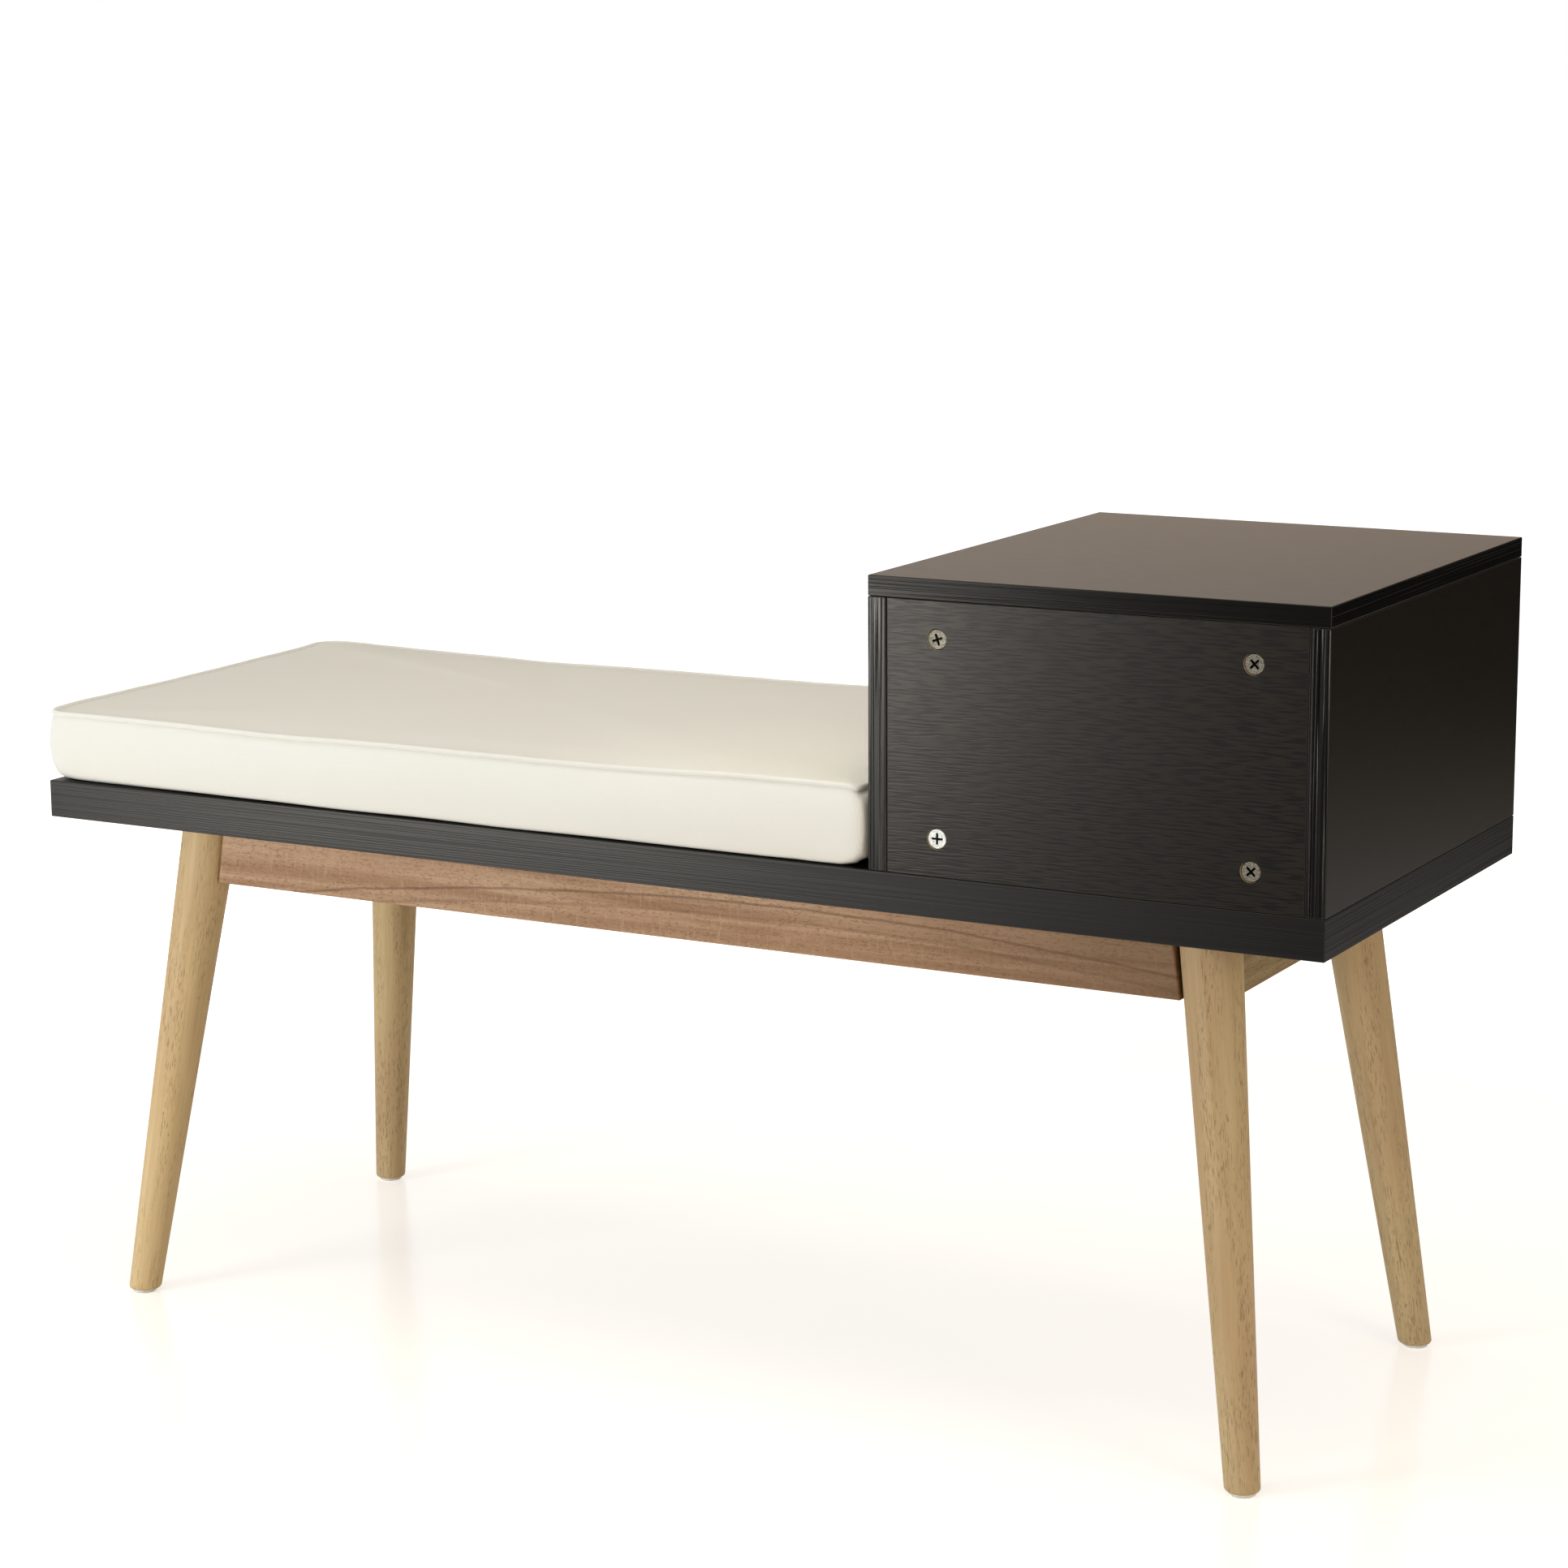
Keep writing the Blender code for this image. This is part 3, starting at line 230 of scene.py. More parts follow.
# Foil: raised and sunk colours of plain and of fully pressed faces and of edge strips
FOILED = ("seat_board", "box_top_panel", "box_end_panel", "box_inner_panel", "box_back_panel")
FOIL_PLAIN = ((27, 23, 19), (24, 20, 16))
FOIL_PRESSED = ((33, 30, 26), (7, 6, 5))
FOIL_STRIP = ((9, 8, 7), (2, 2, 2))
FOIL_CLOUD = (22, 18, 14)
# Painted highlight: a paler grey on the boards' rounded arrises
FOIL_ARRIS_HIGHLIGHT = (48, 45, 40)
FOIL_DASH = (50, 640)
FOIL_HAIR = (70, 1100)
DASH_SHARE = 0.65
HAIR_SHARE = 0.35
FOIL_CLOUD_SCALE = 7
STRIP_LENGTH_SCALE = 2.5
FOIL_EMBOSS = 0.00003
FOIL_SPECULAR = 0.06
TOP_SPECULAR = 0.04
FOIL_SHEEN = 0.26
FOIL_DULL = 0.27
PRESSED_DULL = 0.02
ARRIS_ROUGHNESS = 0.5
# Each edge strip's facing axis and the axis of its ridges
LEVEL_EDGES = ((X, Y), (Y, X))
UPRIGHT_EDGES = ((Y, Z),)
# Depth of a strip's ridges, their scale, and the roughness of ridge and groove
SEAT_STRIP = (0.00002, 1100, 0.33, 0.41)
TOP_STRIP = (0.00007, 620, 0.22, 0.27)
UPRIGHT_STRIP = (0.00032, 560, 0.21, 0.30)

# Raw board inside the cam locks' pockets, with their margin round the locks and the foil's rim
RAW_BOARD = ((168, 141, 99), (214, 190, 146))
RAW_CHIPS = 900
RAW_ROUGHNESS = 0.85
POCKET_MARGIN = 0.0008
POCKET_RIM = 0.00025

# Oak and beech: pale, middle and dark tones
LEG_OAK = ((216, 189, 143), (201, 173, 127), (167, 139, 96))
BEECH = ((214, 182, 141), (200, 166, 124), (176, 140, 98))
OAK_BLUSH = (178, 141, 108)
OAK_PORE = (104, 80, 52)
OAK_PORE_STRENGTH = 0.46
OAK_BANDS = (3, 85)
OAK_FIBRE = (14, 520)
OAK_PORES = (120, 1200)
OAK_GROUPS = (7, 85)
OAK_TINT = (4, 16)
OAK_RELIEF = 0.00018

# Walnut
WALNUT_TONES = ((169, 131, 100), (202, 166, 134))
WALNUT_FIBRE_TONE = (138, 103, 76)
WALNUT_SPECK_TONE = (131, 96, 69)
WALNUT_HATCH_TONE = (208, 176, 145)
WALNUT_CLOUD_TONE = (170, 128, 98)
WALNUT_FIGURE = (2.2, 75)
WALNUT_FIBRE = (18, 600)
WALNUT_SPECK = (330, 900)
WALNUT_HATCH = (70, 420)
WALNUT_CLOUD = (5, 16)
WALNUT_RELIEF = 0.00016
# Linear tint of the end aprons, against the long ones: painted shade, darker and more khaki than the
# same walnut in full light
END_PAINTED_SHADE = (0.62, 0.68, 0.48, 1.0)

# The walnut's arched growth line, on a board of an apron's height
ARCH_MIDDLE = -0.10
ARCH_BEND = -0.1765
ARCH_BASE = 0.0295
ARCH_WANDER = 0.010
ARCH_WANDER_GRAIN = (5, 0)
ARCH_ECHO = 0.0105
ARCH_TONE = (96, 62, 42)
ECHO_TONE = (104, 70, 48)
UNDER_TONE = (140, 102, 76)
# Painted shade: the darker walnut tone towards the box end
WALNUT_PAINTED_SHADE_TONE = (104, 78, 52)
# From where to where along the board the painted shade makes the wood darker, towards the box end
WALNUT_PAINTED_SHADE_RANGE = (-0.10, -0.42)

# Canvas: weave of about 14 threads per centimetre, as radians per metre
CANVAS_THREADS = 4400.0
CANVAS_TONES = ((235, 233, 225), (243, 241, 234))
CANVAS_SLUB_TONE = (246, 244, 237)
CANVAS_CLOUD_TONE = (235, 232, 222)
CANVAS_SHEEN = (250, 246, 236)
CANVAS_SLUB = (14, 800)
CANVAS_CLOUD = (9, 5)
CANVAS_WOBBLE = 0.0006
CANVAS_WOBBLE_SCALE = 60
CANVAS_RELIEF = 0.00012

# Metals: pale and dark tone, two roughnesses, scale of the pits and their depth
CAST_ZINC = ((152, 144, 128), (70, 63, 52), 0.34, 0.5, 1100, 0.0002)
BRIGHT_ZINC = ((226, 223, 214), (150, 146, 136), 0.3, 0.45, 1100, 0.0002)
PLATED_STEEL = ((200, 200, 196), (158, 157, 150), 0.22, 0.4, 700, 0.00006)
# Painted shade in the screw recesses, nearly black
RECESS_PAINTED_SHADE = (16, 14, 11)
# Depths below a face where the painted shade in a recess starts and where it is full
RECESS_SHADE_DEPTHS = (0.0002, 0.0005)

# Plastic and powder coat: pale and dark tone, roughness, scale of the skin and its depth
NYLON = ((238, 237, 231), (226, 224, 216), 0.45, 900, 0.00005)
POWDER_COAT = ((230, 228, 219), (217, 214, 203), 0.4, 1300, 0.00008)

# Drawer boards: pale, dark and fibre tone, and roughness
DRAWER_BOARD = ((222, 212, 194), (206, 194, 172), (180, 163, 134), 0.45)
HARDBOARD = ((160, 127, 92), (138, 106, 74), (112, 84, 57), 0.55)
BOARD_STREAK = (6, 190)
BOARD_FIBRE = (160, 900)
BOARD_RELIEF = 0.00012


def linear(red, green, blue):
    """Linear colour from display values of 0 to 255."""
    return [((value / 255 + 0.055) / 1.055) ** 2.4 for value in (red, green, blue)] + [1.0]


def axis_scale(axis, along, across):
    """A scale for each axis, from those along and across one of them."""
    return tuple(along if index == axis else across for index in range(3))


class Nodes:
    """A node tree with short calls for the nodes that the looks are made of."""

    def __init__(self, tree):
        self.tree = tree

    def add(self, kind, inputs=None, **settings):
        """A node with its settings, its inputs set to values or linked to outputs."""
        node = self.tree.nodes.new(kind)
        for key, value in settings.items():
            setattr(node, key, value)
        for key, value in (inputs or {}).items():
            self.feed(node.inputs[key], value)
        return node

    def feed(self, socket, value):
        """Link an output to a socket, or set the socket's value."""
        if isinstance(value, bpy.types.NodeSocket):
            self.tree.links.new(value, socket)
        else:
            socket.default_value = value

    def fit(self, value, low, high, out_low=0.0, out_high=1.0, smooth=True):
        """A value mapped from one range to another, held at both ends."""
        node = self.add(
            "ShaderNodeMapRange",
            {"Value": value, 1: low, 2: high, 3: out_low, 4: out_high},
            interpolation_type="SMOOTHSTEP" if smooth else "LINEAR",
        )
        return node.outputs[0]

    def math(self, operation, first, second=0.0):
        """The result of an operation on two values."""
        return self.add("ShaderNodeMath", {0: first, 1: second}, operation=operation).outputs[0]

    def blend(self, share, first, second):
        """A value between two values."""
        node = self.add("ShaderNodeMix", {0: share, 2: first, 3: second}, data_type="FLOAT")
        return node.outputs[0]

    def mix(self, share, first, second, blend="MIX"):
        """A colour between two linear colours."""
        node = self.add(
            "ShaderNodeMix",
            {0: share, 6: first, 7: second},
            data_type="RGBA",
            blend_type=blend,
        )
        return node.outputs[2]

    def split(self, vector):
        """The three parts of a vector."""
        return self.add("ShaderNodeSeparateXYZ", {0: vector}).outputs


class Look(Nodes):
    """A node material, from texture space to shader."""

    def __init__(self, name, roughness=0.5, metallic=0.0, specular=0.5):
        self.material = bpy.data.materials.new(name)
        self.material.use_nodes = True
        super().__init__(self.material.node_tree)
        self.shader = self.tree.nodes["Principled BSDF"]
        self.shader.inputs["Roughness"].default_value = roughness
        self.shader.inputs["Metallic"].default_value = metallic
        self.shader.inputs["Specular IOR Level"].default_value = specular
        self.place = self.add("ShaderNodeTexCoord").outputs["Object"]

    def set(self, name, value):
        """Set or link one of the shader's inputs."""
        self.feed(self.shader.inputs[name], value)

    def noise(self, scale, vector=None, detail=2.0, roughness=0.5, distortion=0.0):
        """Noise in the object's space, or in another, stretched by a scale for each axis."""
        space = self.add("ShaderNodeMapping", {"Vector": vector or self.place, "Scale": scale})
        node = self.add(
            "ShaderNodeTexNoise",
            {
                "Vector": space.outputs["Vector"],
                "Scale": 1.0,
                "Detail": detail,
                "Roughness": roughness,
                "Distortion": distortion,
            },
        )
        return node.outputs["Fac"]

    def grain(self, axis, scales, vector=None, **settings):
        """Noise with lines along an axis."""
        return self.noise(axis_scale(axis, *scales), vector, **settings)

    def speckle(self, scale, **settings):
        """Noise that is the same in all directions."""
        return self.noise((scale, scale, scale), **settings)

    def between(self, mask, low, high, first, second):
        """One display colour up to a mask's low value and another from its high value on."""
        return self.mix(self.fit(mask, low, high), linear(*first), linear(*second))

    def stain(self, colour, mask, low, high, strength, tone):
        """A colour stained with a display colour, from a mask's low value to its high value."""
        return self.mix(self.fit(mask, low, high, 0.0, strength), colour, linear(*tone))

    def paint(self, colour, mask, strength, tone):
        """A colour painted over with a share of a display colour."""
        return self.mix(self.math("MULTIPLY", mask, strength), colour, linear(*tone))

    def bump(self, height, distance, strength=1.0):
        """A normal for a height of the surface."""
        inputs = {"Height": height, "Distance": distance, "Strength": strength}
        return self.add("ShaderNodeBump", inputs).outputs["Normal"]


def foil_look(
    name, face_axis, streaks, edges=(), strip=None, pockets=False, specular=FOIL_SPECULAR
):
    """Black wood-grain foil: short pressed lines on a board's faces, long ridges on its edge strips.

    streaks is the share of the full pressing on the faces, and strip is what the edge strips share.
    """
    look = Look(name, specular=specular)
    dash = look.grain(face_axis, FOIL_DASH, detail=0.5)
    hair = look.grain(face_axis, FOIL_HAIR, detail=0.0)
    cloud = look.speckle(FOIL_CLOUD_SCALE)
    dashes = look.math("MULTIPLY", dash, DASH_SHARE)
    groove = look.fit(look.math("ADD", dashes, look.math("MULTIPLY", hair, HAIR_SHARE)), 0.46, 0.60)
    emboss = FOIL_EMBOSS * streaks
    land = look.mix(streaks, linear(*FOIL_PLAIN[0]), linear(*FOIL_PRESSED[0]))
    sunk = look.mix(streaks, linear(*FOIL_PLAIN[1]), linear(*FOIL_PRESSED[1]))
    sheen = FOIL_SHEEN
    dull = FOIL_DULL + PRESSED_DULL * streaks
    normal = look.split(look.add("ShaderNodeNewGeometry").outputs["Normal"])
    steep = [look.math("ABSOLUTE", part) for part in normal]
    for facing, run in edges:
        depth, ridge_scale, ridge_roughness, groove_roughness = strip
        on_strip = look.fit(steep[facing], 0.6, 0.8)
        ridges = look.grain(run, (STRIP_LENGTH_SCALE, ridge_scale), detail=0.5, roughness=0.6)
        groove = look.blend(on_strip, groove, look.fit(ridges, 0.46, 0.58))
        emboss = look.blend(on_strip, emboss, depth)
        land = look.mix(on_strip, land, linear(*FOIL_STRIP[0]))
        sunk = look.mix(on_strip, sunk, linear(*FOIL_STRIP[1]))
        sheen = look.blend(on_strip, sheen, ridge_roughness)
        dull = look.blend(on_strip, dull, groove_roughness)
    colour = look.mix(groove, land, sunk)
    colour = look.stain(colour, cloud, 0.4, 0.7, 0.2, FOIL_CLOUD)
    roughness = look.blend(groove, sheen, dull)
    # Painted highlight: rounded arrises, where the normal is off the axes, turn a paler grey
    flat = look.math("MAXIMUM", steep[X], look.math("MAXIMUM", steep[Y], steep[Z]))
    arris_highlight = look.fit(flat, 0.985, 0.93)
    colour = look.mix(arris_highlight, colour, linear(*FOIL_ARRIS_HIGHLIGHT))
    roughness = look.blend(arris_highlight, roughness, ARRIS_ROUGHNESS)
    if pockets:
        raw = pocket_mask(look)
        chips = look.speckle(RAW_CHIPS, detail=3)
        board = look.mix(chips, linear(*RAW_BOARD[0]), linear(*RAW_BOARD[1]))
        colour = look.mix(raw, colour, board)
        raw_roughness = look.math("MULTIPLY", raw, RAW_ROUGHNESS)
        roughness = look.math("MAXIMUM", roughness, raw_roughness)
    look.set("Base Color", colour)
    look.set("Roughness", roughness)
    look.set("Normal", look.bump(look.math("SUBTRACT", 1.0, groove), emboss))
    return look.material


def pocket_mask(look):
    """1 on the raw board inside the cam locks' pockets, 0 on the foil."""
    x, y, z = look.split(look.place)
    away_x = look.math("ABSOLUTE", look.math("SUBTRACT", x, CASE_MIDDLE_X))
    away_z = look.math("ABSOLUTE", look.math("SUBTRACT", z, CASE_MIDDLE_Z))
    off_x = look.math("SUBTRACT", away_x, CAM_REACH_X)
    off_z = look.math("SUBTRACT", away_z, CAM_REACH_Z)
    squared = look.math("ADD", look.math("POWER", off_x, 2), look.math("POWER", off_z, 2))
    near = look.math("LESS_THAN", look.math("SQRT", squared), CAM_RADIUS + POCKET_MARGIN)
    below = look.math("LESS_THAN", y, Y_EDGE - POCKET_RIM)
    return look.math("MULTIPLY", near, below)


def oak_look(name, pale, middle, dark):
    """Lacquered oak with upright grain: soft bands, short dark pores and slow changes of colour."""
    look = Look(name, specular=0.2)
    info = look.add("ShaderNodeObjectInfo").outputs["Location"]
    place = look.add("ShaderNodeVectorMath", {0: look.place, 1: info}, operation="ADD").outputs[0]
    bands = look.grain(Z, OAK_BANDS, place, detail=3, distortion=0.6)
    fibre = look.grain(Z, OAK_FIBRE, place, detail=4, roughness=0.65)
    pores = look.grain(Z, OAK_PORES, place, detail=1, roughness=0.6)
    groups = look.grain(Z, OAK_GROUPS, place)
    tint = look.grain(Z, OAK_TINT, place, detail=1)
    colour = look.between(bands, 0.25, 0.75, middle, pale)
    colour = look.stain(colour, fibre, 0.45, 0.75, 0.35, dark)
    colour = look.stain(colour, tint, 0.45, 0.7, 0.35, OAK_BLUSH)
    pore = look.math("MULTIPLY", look.fit(pores, 0.57, 0.64), look.fit(groups, 0.38, 0.58))
    look.set("Base Color", look.paint(colour, pore, OAK_PORE_STRENGTH, OAK_PORE))
    look.set("Roughness", look.fit(fibre, 0.3, 0.7, 0.46, 0.60))
    height = look.math("SUBTRACT", look.math("MULTIPLY", fibre, 0.35), pore)
    look.set("Normal", look.bump(height, OAK_RELIEF, 0.5))
    return look.material


def walnut_look(name, along_axis, middle_z=None, height=None, tint=None):
    """Walnut: mottled fine pores and wavy long figure, on a board of a height with a growth line and
    painted shade towards the box end; a tint paints shade on the end aprons.
    """
    look = Look(name, specular=0.15)
    figure = look.grain(along_axis, WALNUT_FIGURE, detail=3, distortion=0.9)
    fibre = look.grain(along_axis, WALNUT_FIBRE, detail=4, roughness=0.7)
    speck = look.grain(along_axis, WALNUT_SPECK, detail=3, roughness=0.7)
    hatch = look.grain(Z, WALNUT_HATCH, roughness=0.6)
    cloud = look.grain(along_axis, WALNUT_CLOUD)
    colour = look.between(figure, 0.32, 0.68, *WALNUT_TONES)
    colour = look.stain(colour, fibre, 0.45, 0.72, 0.45, WALNUT_FIBRE_TONE)
    colour = look.stain(colour, speck, 0.52, 0.63, 0.6, WALNUT_SPECK_TONE)
    colour = look.stain(colour, hatch, 0.55, 0.70, 0.3, WALNUT_HATCH_TONE)
    colour = look.stain(colour, cloud, 0.45, 0.75, 0.4, WALNUT_CLOUD_TONE)
    if height:
        colour = growth_line_and_painted_shade(look, colour, along_axis, middle_z, height)
    # Painted shade: the end aprons' walnut is multiplied darker and more khaki
    if tint:
        colour = look.mix(1.0, colour, tint, "MULTIPLY")
    look.set("Base Color", colour)
    look.set("Roughness", look.fit(fibre, 0.3, 0.7, 0.44, 0.58))
    grain = look.math("ADD", look.math("MULTIPLY", fibre, 0.6), look.math("MULTIPLY", speck, -0.4))
    look.set("Normal", look.bump(grain, WALNUT_RELIEF, 0.45))
    return look.material


def growth_line_and_painted_shade(look, colour, along_axis, middle_z, height):
    """A walnut colour with one dark arched line, its faint echo and painted shade that darkens it
    towards the box end at -x.
    """
    xyz = look.split(look.place)
    along = xyz[along_axis]
    size = height / APRON_HEIGHT
    wander = look.grain(along_axis, ARCH_WANDER_GRAIN, detail=4, roughness=0.6)
    reach = look.math("POWER", look.math("ADD", along, -ARCH_MIDDLE), 2)
    line = look.math("MULTIPLY", reach, ARCH_BEND * size)
    line = look.math("ADD", line, look.math("MULTIPLY", wander, ARCH_WANDER * size))
    base = middle_z - height / 2 + ARCH_BASE * size
    gap = look.math("SUBTRACT", look.math("SUBTRACT", xyz[Z], base), line)
    echo_gap = look.math("ADD", gap, ARCH_ECHO * size)
    thin = look.fit(look.math("ABSOLUTE", gap), 0.0017, 0.0002)
    faint = look.fit(look.math("ABSOLUTE", echo_gap), 0.0022, 0.0003)
    under = look.math("MULTIPLY", look.fit(gap, 0.0, -0.009), look.fit(gap, -0.014, -0.004))
    colour = look.paint(colour, thin, 0.5, ARCH_TONE)
    colour = look.paint(colour, faint, 0.28, ECHO_TONE)
    colour = look.paint(colour, under, 0.25, UNDER_TONE)
    # Painted shade: the walnut darkens towards the box end at -x
    return look.stain(colour, along, *WALNUT_PAINTED_SHADE_RANGE, 0.65, WALNUT_PAINTED_SHADE_TONE)


def canvas_look():
    """Cream cotton canvas: a plain weave with slubs."""
    look = Look("cream_canvas", roughness=0.95, specular=0.08)
    look.set("Sheen Weight", 0.05)
    look.set("Sheen Roughness", 0.5)
    look.set("Sheen Tint", linear(*CANVAS_SHEEN))
    wobble = look.math("MULTIPLY", look.speckle(CANVAS_WOBBLE_SCALE), CANVAS_WOBBLE)
    shifted = look.add("ShaderNodeVectorMath", {0: look.place, 1: wobble}, operation="ADD").outputs[0]
    x, y, z = look.split(shifted)
    warp, weft = [
        look.math("SINE", look.math("MULTIPLY", look.math("ADD", part, z), CANVAS_THREADS))
        for part in (x, y)
    ]
    weave = look.math("MULTIPLY", warp, weft)
    slub = look.math("MAXIMUM", look.grain(X, CANVAS_SLUB), look.grain(Y, CANVAS_SLUB))
    cloud = look.grain(Z, CANVAS_CLOUD, detail=3)
    colour = look.between(weave, -1, 1, *CANVAS_TONES)
    colour = look.stain(colour, slub, 0.6, 0.78, 0.35, CANVAS_SLUB_TONE)
    colour = look.stain(colour, cloud, 0.45, 0.75, 0.3, CANVAS_CLOUD_TONE)
    look.set("Base Color", colour)
    height = look.math("ADD", look.math("MULTIPLY", weave, 0.5), look.math("MULTIPLY", slub, 0.8))
    look.set("Normal", look.bump(height, CANVAS_RELIEF, 0.35))
    return look.material


def metal_look(name, pale, dark, low_rough, high_rough, grain, depth, face_y=None):
    """Plated or cast metal: uneven tone, dull patches and a fine pitted skin.

    Below a face towards +y, such as in a screw recess, it is painted nearly black as painted shade.
    """
    look = Look(name, metallic=1.0)
    pits = look.speckle(grain, detail=4, roughness=0.65)
    patch = look.speckle(grain / 8)
    colour = look.between(pits, 0.35, 0.65, dark, pale)
    # Painted shade below the face, in the recess
    if face_y:
        start, full = [face_y - depth_below for depth_below in RECESS_SHADE_DEPTHS]
        colour = look.stain(colour, look.split(look.place)[Y], start, full, 1.0, RECESS_PAINTED_SHADE)
    look.set("Base Color", colour)
    look.set("Roughness", look.fit(patch, 0.35, 0.65, low_rough, high_rough))
    look.set("Normal", look.bump(pits, depth, 0.6))
    return look.material


def moulded_look(name, pale, dark, roughness, grain, depth):
    """Moulded plastic or powder coat: a faint mottled tone over a fine orange-peel skin."""
    look = Look(name, specular=0.45)
    peel = look.speckle(grain)
    tone = look.speckle(grain / 14, detail=3)
    look.set("Base Color", look.between(tone, 0.35, 0.65, dark, pale))
    look.set("Roughness", look.fit(tone, 0.3, 0.7, roughness - 0.06, roughness + 0.08))
    look.set("Normal", look.bump(peel, depth, 0.4))
    return look.material


def board_look(name, axis, pale, dark, fibre_tone, roughness):
    """Pale foiled board or hardboard: faint straight streaks and small fibres."""
    look = Look(name, specular=0.3)
    streak = look.grain(axis, BOARD_STREAK, detail=4, roughness=0.6)
    fibre = look.grain(axis, BOARD_FIBRE, detail=3, roughness=0.7)
    colour = look.between(streak, 0.35, 0.65, dark, pale)
    look.set("Base Color", look.stain(colour, fibre, 0.58, 0.72, 0.5, fibre_tone))
    look.set("Roughness", look.fit(streak, 0.3, 0.7, roughness, roughness + 0.12))
    look.set("Normal", look.bump(streak, BOARD_RELIEF, 0.35))
    return look.material


def dress_nodes():
    """The CAD nodes that keep their shape get their materials, by the start of their names."""
    upright = foil_look("foil_upright", Y, 0.0, UPRIGHT_EDGES, UPRIGHT_STRIP)
    steel = metal_look("plated_steel", *PLATED_STEEL)
    nylon = moulded_look("white_nylon", *NYLON)
    coat = moulded_look("powder_coat", *POWDER_COAT)
    long_walnut = walnut_look("walnut_long", X, APRON_MIDDLE_Z, APRON_HEIGHT)
    end_walnut_painted_shade = walnut_look("walnut_end_painted_shade", Y, tint=END_PAINTED_SHADE)
    by_start = {
        "seat_board": foil_look("foil_seat", X, 0.2, LEVEL_EDGES, SEAT_STRIP),
        "box_top_panel": foil_look("foil_top", X, 0.1, LEVEL_EDGES, TOP_STRIP, specular=TOP_SPECULAR),
        "box_end_panel": upright,
        "box_inner_panel": upright,
        "box_back_panel": foil_look("foil_back", X, 1.0, pockets=True),
        "back_cam_lock": metal_look("cast_zinc", *CAST_ZINC, CAM_FACE),
        "back_cam_lock_bottom_right": metal_look("bright_zinc", *BRIGHT_ZINC, CAM_FACE),
        "back_cam_bolt": steel,
        "top_dowel": oak_look("beech", *BEECH),
        "box_screw": steel,
        "apron_screw": steel,
        "foot_glide": nylon,
        "front_apron": long_walnut,
        "back_apron": long_walnut,
        "box_end_apron": end_walnut_painted_shade,
        "seat_end_apron": end_walnut_painted_shade,
        "corner_bracket": steel,
        "leg_bolt": steel,
        "case_rail": coat,
        "drawer_rail": coat,
        "case_roller": nylon,
        "drawer_roller": nylon,
        "drawer_front": walnut_look("walnut_front", X, CASE_MIDDLE_Z, DRAWER_FRONT_HEIGHT),
        "drawer_side": board_look("drawer_board", Y, *DRAWER_BOARD),
        "drawer_back": board_look("drawer_board_across", X, *DRAWER_BOARD),
        "drawer_bottom": board_look("hardboard", X, *HARDBOARD),
    }
    for name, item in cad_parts.items():
        for start, material in by_start.items():
            if name.startswith(start):
                item.data.materials.clear()
                item.data.materials.append(material)


def add_object(name, data):
    """An object of the scene with a mesh, lamp or camera."""
    item = bpy.data.objects.new(name, data)
    bpy.context.scene.collection.objects.link(item)
    return item


def new_piece(name, mesh, material, matrix=None, smooth=PIECE_SMOOTH):
    """A mesh piece built in world coordinates, with its own axes where a matrix is given."""
    bmesh.ops.recalc_face_normals(mesh, faces=mesh.faces)
    matrix = matrix or Matrix.Identity(4)
    bmesh.ops.transform(mesh, matrix=matrix.inverted(), verts=mesh.verts)
    data = bpy.data.meshes.new(name)
    mesh.to_mesh(data)
    mesh.free()
    data.shade_smooth()
    data.set_sharp_from_angle(angle=math.radians(smooth))
    data.materials.append(material)
    item = add_object(name, data)
    item.matrix_world = matrix
    return item


def skin(mesh, rings, capped):
    """Faces between neighbouring rings of points, which end in two caps or else close to a loop."""
    following = rings[1:] if capped else rings[1:] + rings[:1]
    for below, above in zip(rings, following):
        for step in range(len(below)):
            after = (step + 1) % len(below)
            mesh.faces.new((below[step], below[after], above[after], above[step]))
    if capped:
        mesh.faces.new(rings[0])
        mesh.faces.new(rings[-1])


def leg_axis(x, y, z):
    """The middle of the leg at the corner with the signs x and y, at a height."""
    down = (SEAT_UNDER - z) / SEAT_UNDER
    inset = LEG_TOP_INSET.lerp(LEG_FOOT_INSET, down)
    return Vector((x * (X_END - inset.x), y * (Y_EDGE - inset.y), z))


def leg_radius(z):
    """A leg's radius at a height, with the foot's rounding."""
    down = (SEAT_UNDER - z) / SEAT_UNDER
    radius = LEG_TOP_RADIUS + (LEG_FOOT_RADIUS - LEG_TOP_RADIUS) * down
    short = max(0.0, 1 - (z - LEG_LOW) / FOOT_ROUND)
    return radius - FOOT_ROUND * (1 - math.sqrt(1 - short * short))


def leg_heights():
    """The heights of a leg's rings: close at the foot's rounding, even above it."""
    quarter = [step * math.pi / (2 * FOOT_RINGS) for step in range(FOOT_RINGS)]
    heights = [LEG_LOW + FOOT_ROUND * (1 - math.cos(angle)) for angle in quarter]
    rise = (LEG_HIGH - LEG_LOW - FOOT_ROUND) / LEG_RINGS
    return heights + [LEG_LOW + FOOT_ROUND + rise * step for step in range(LEG_RINGS + 1)]


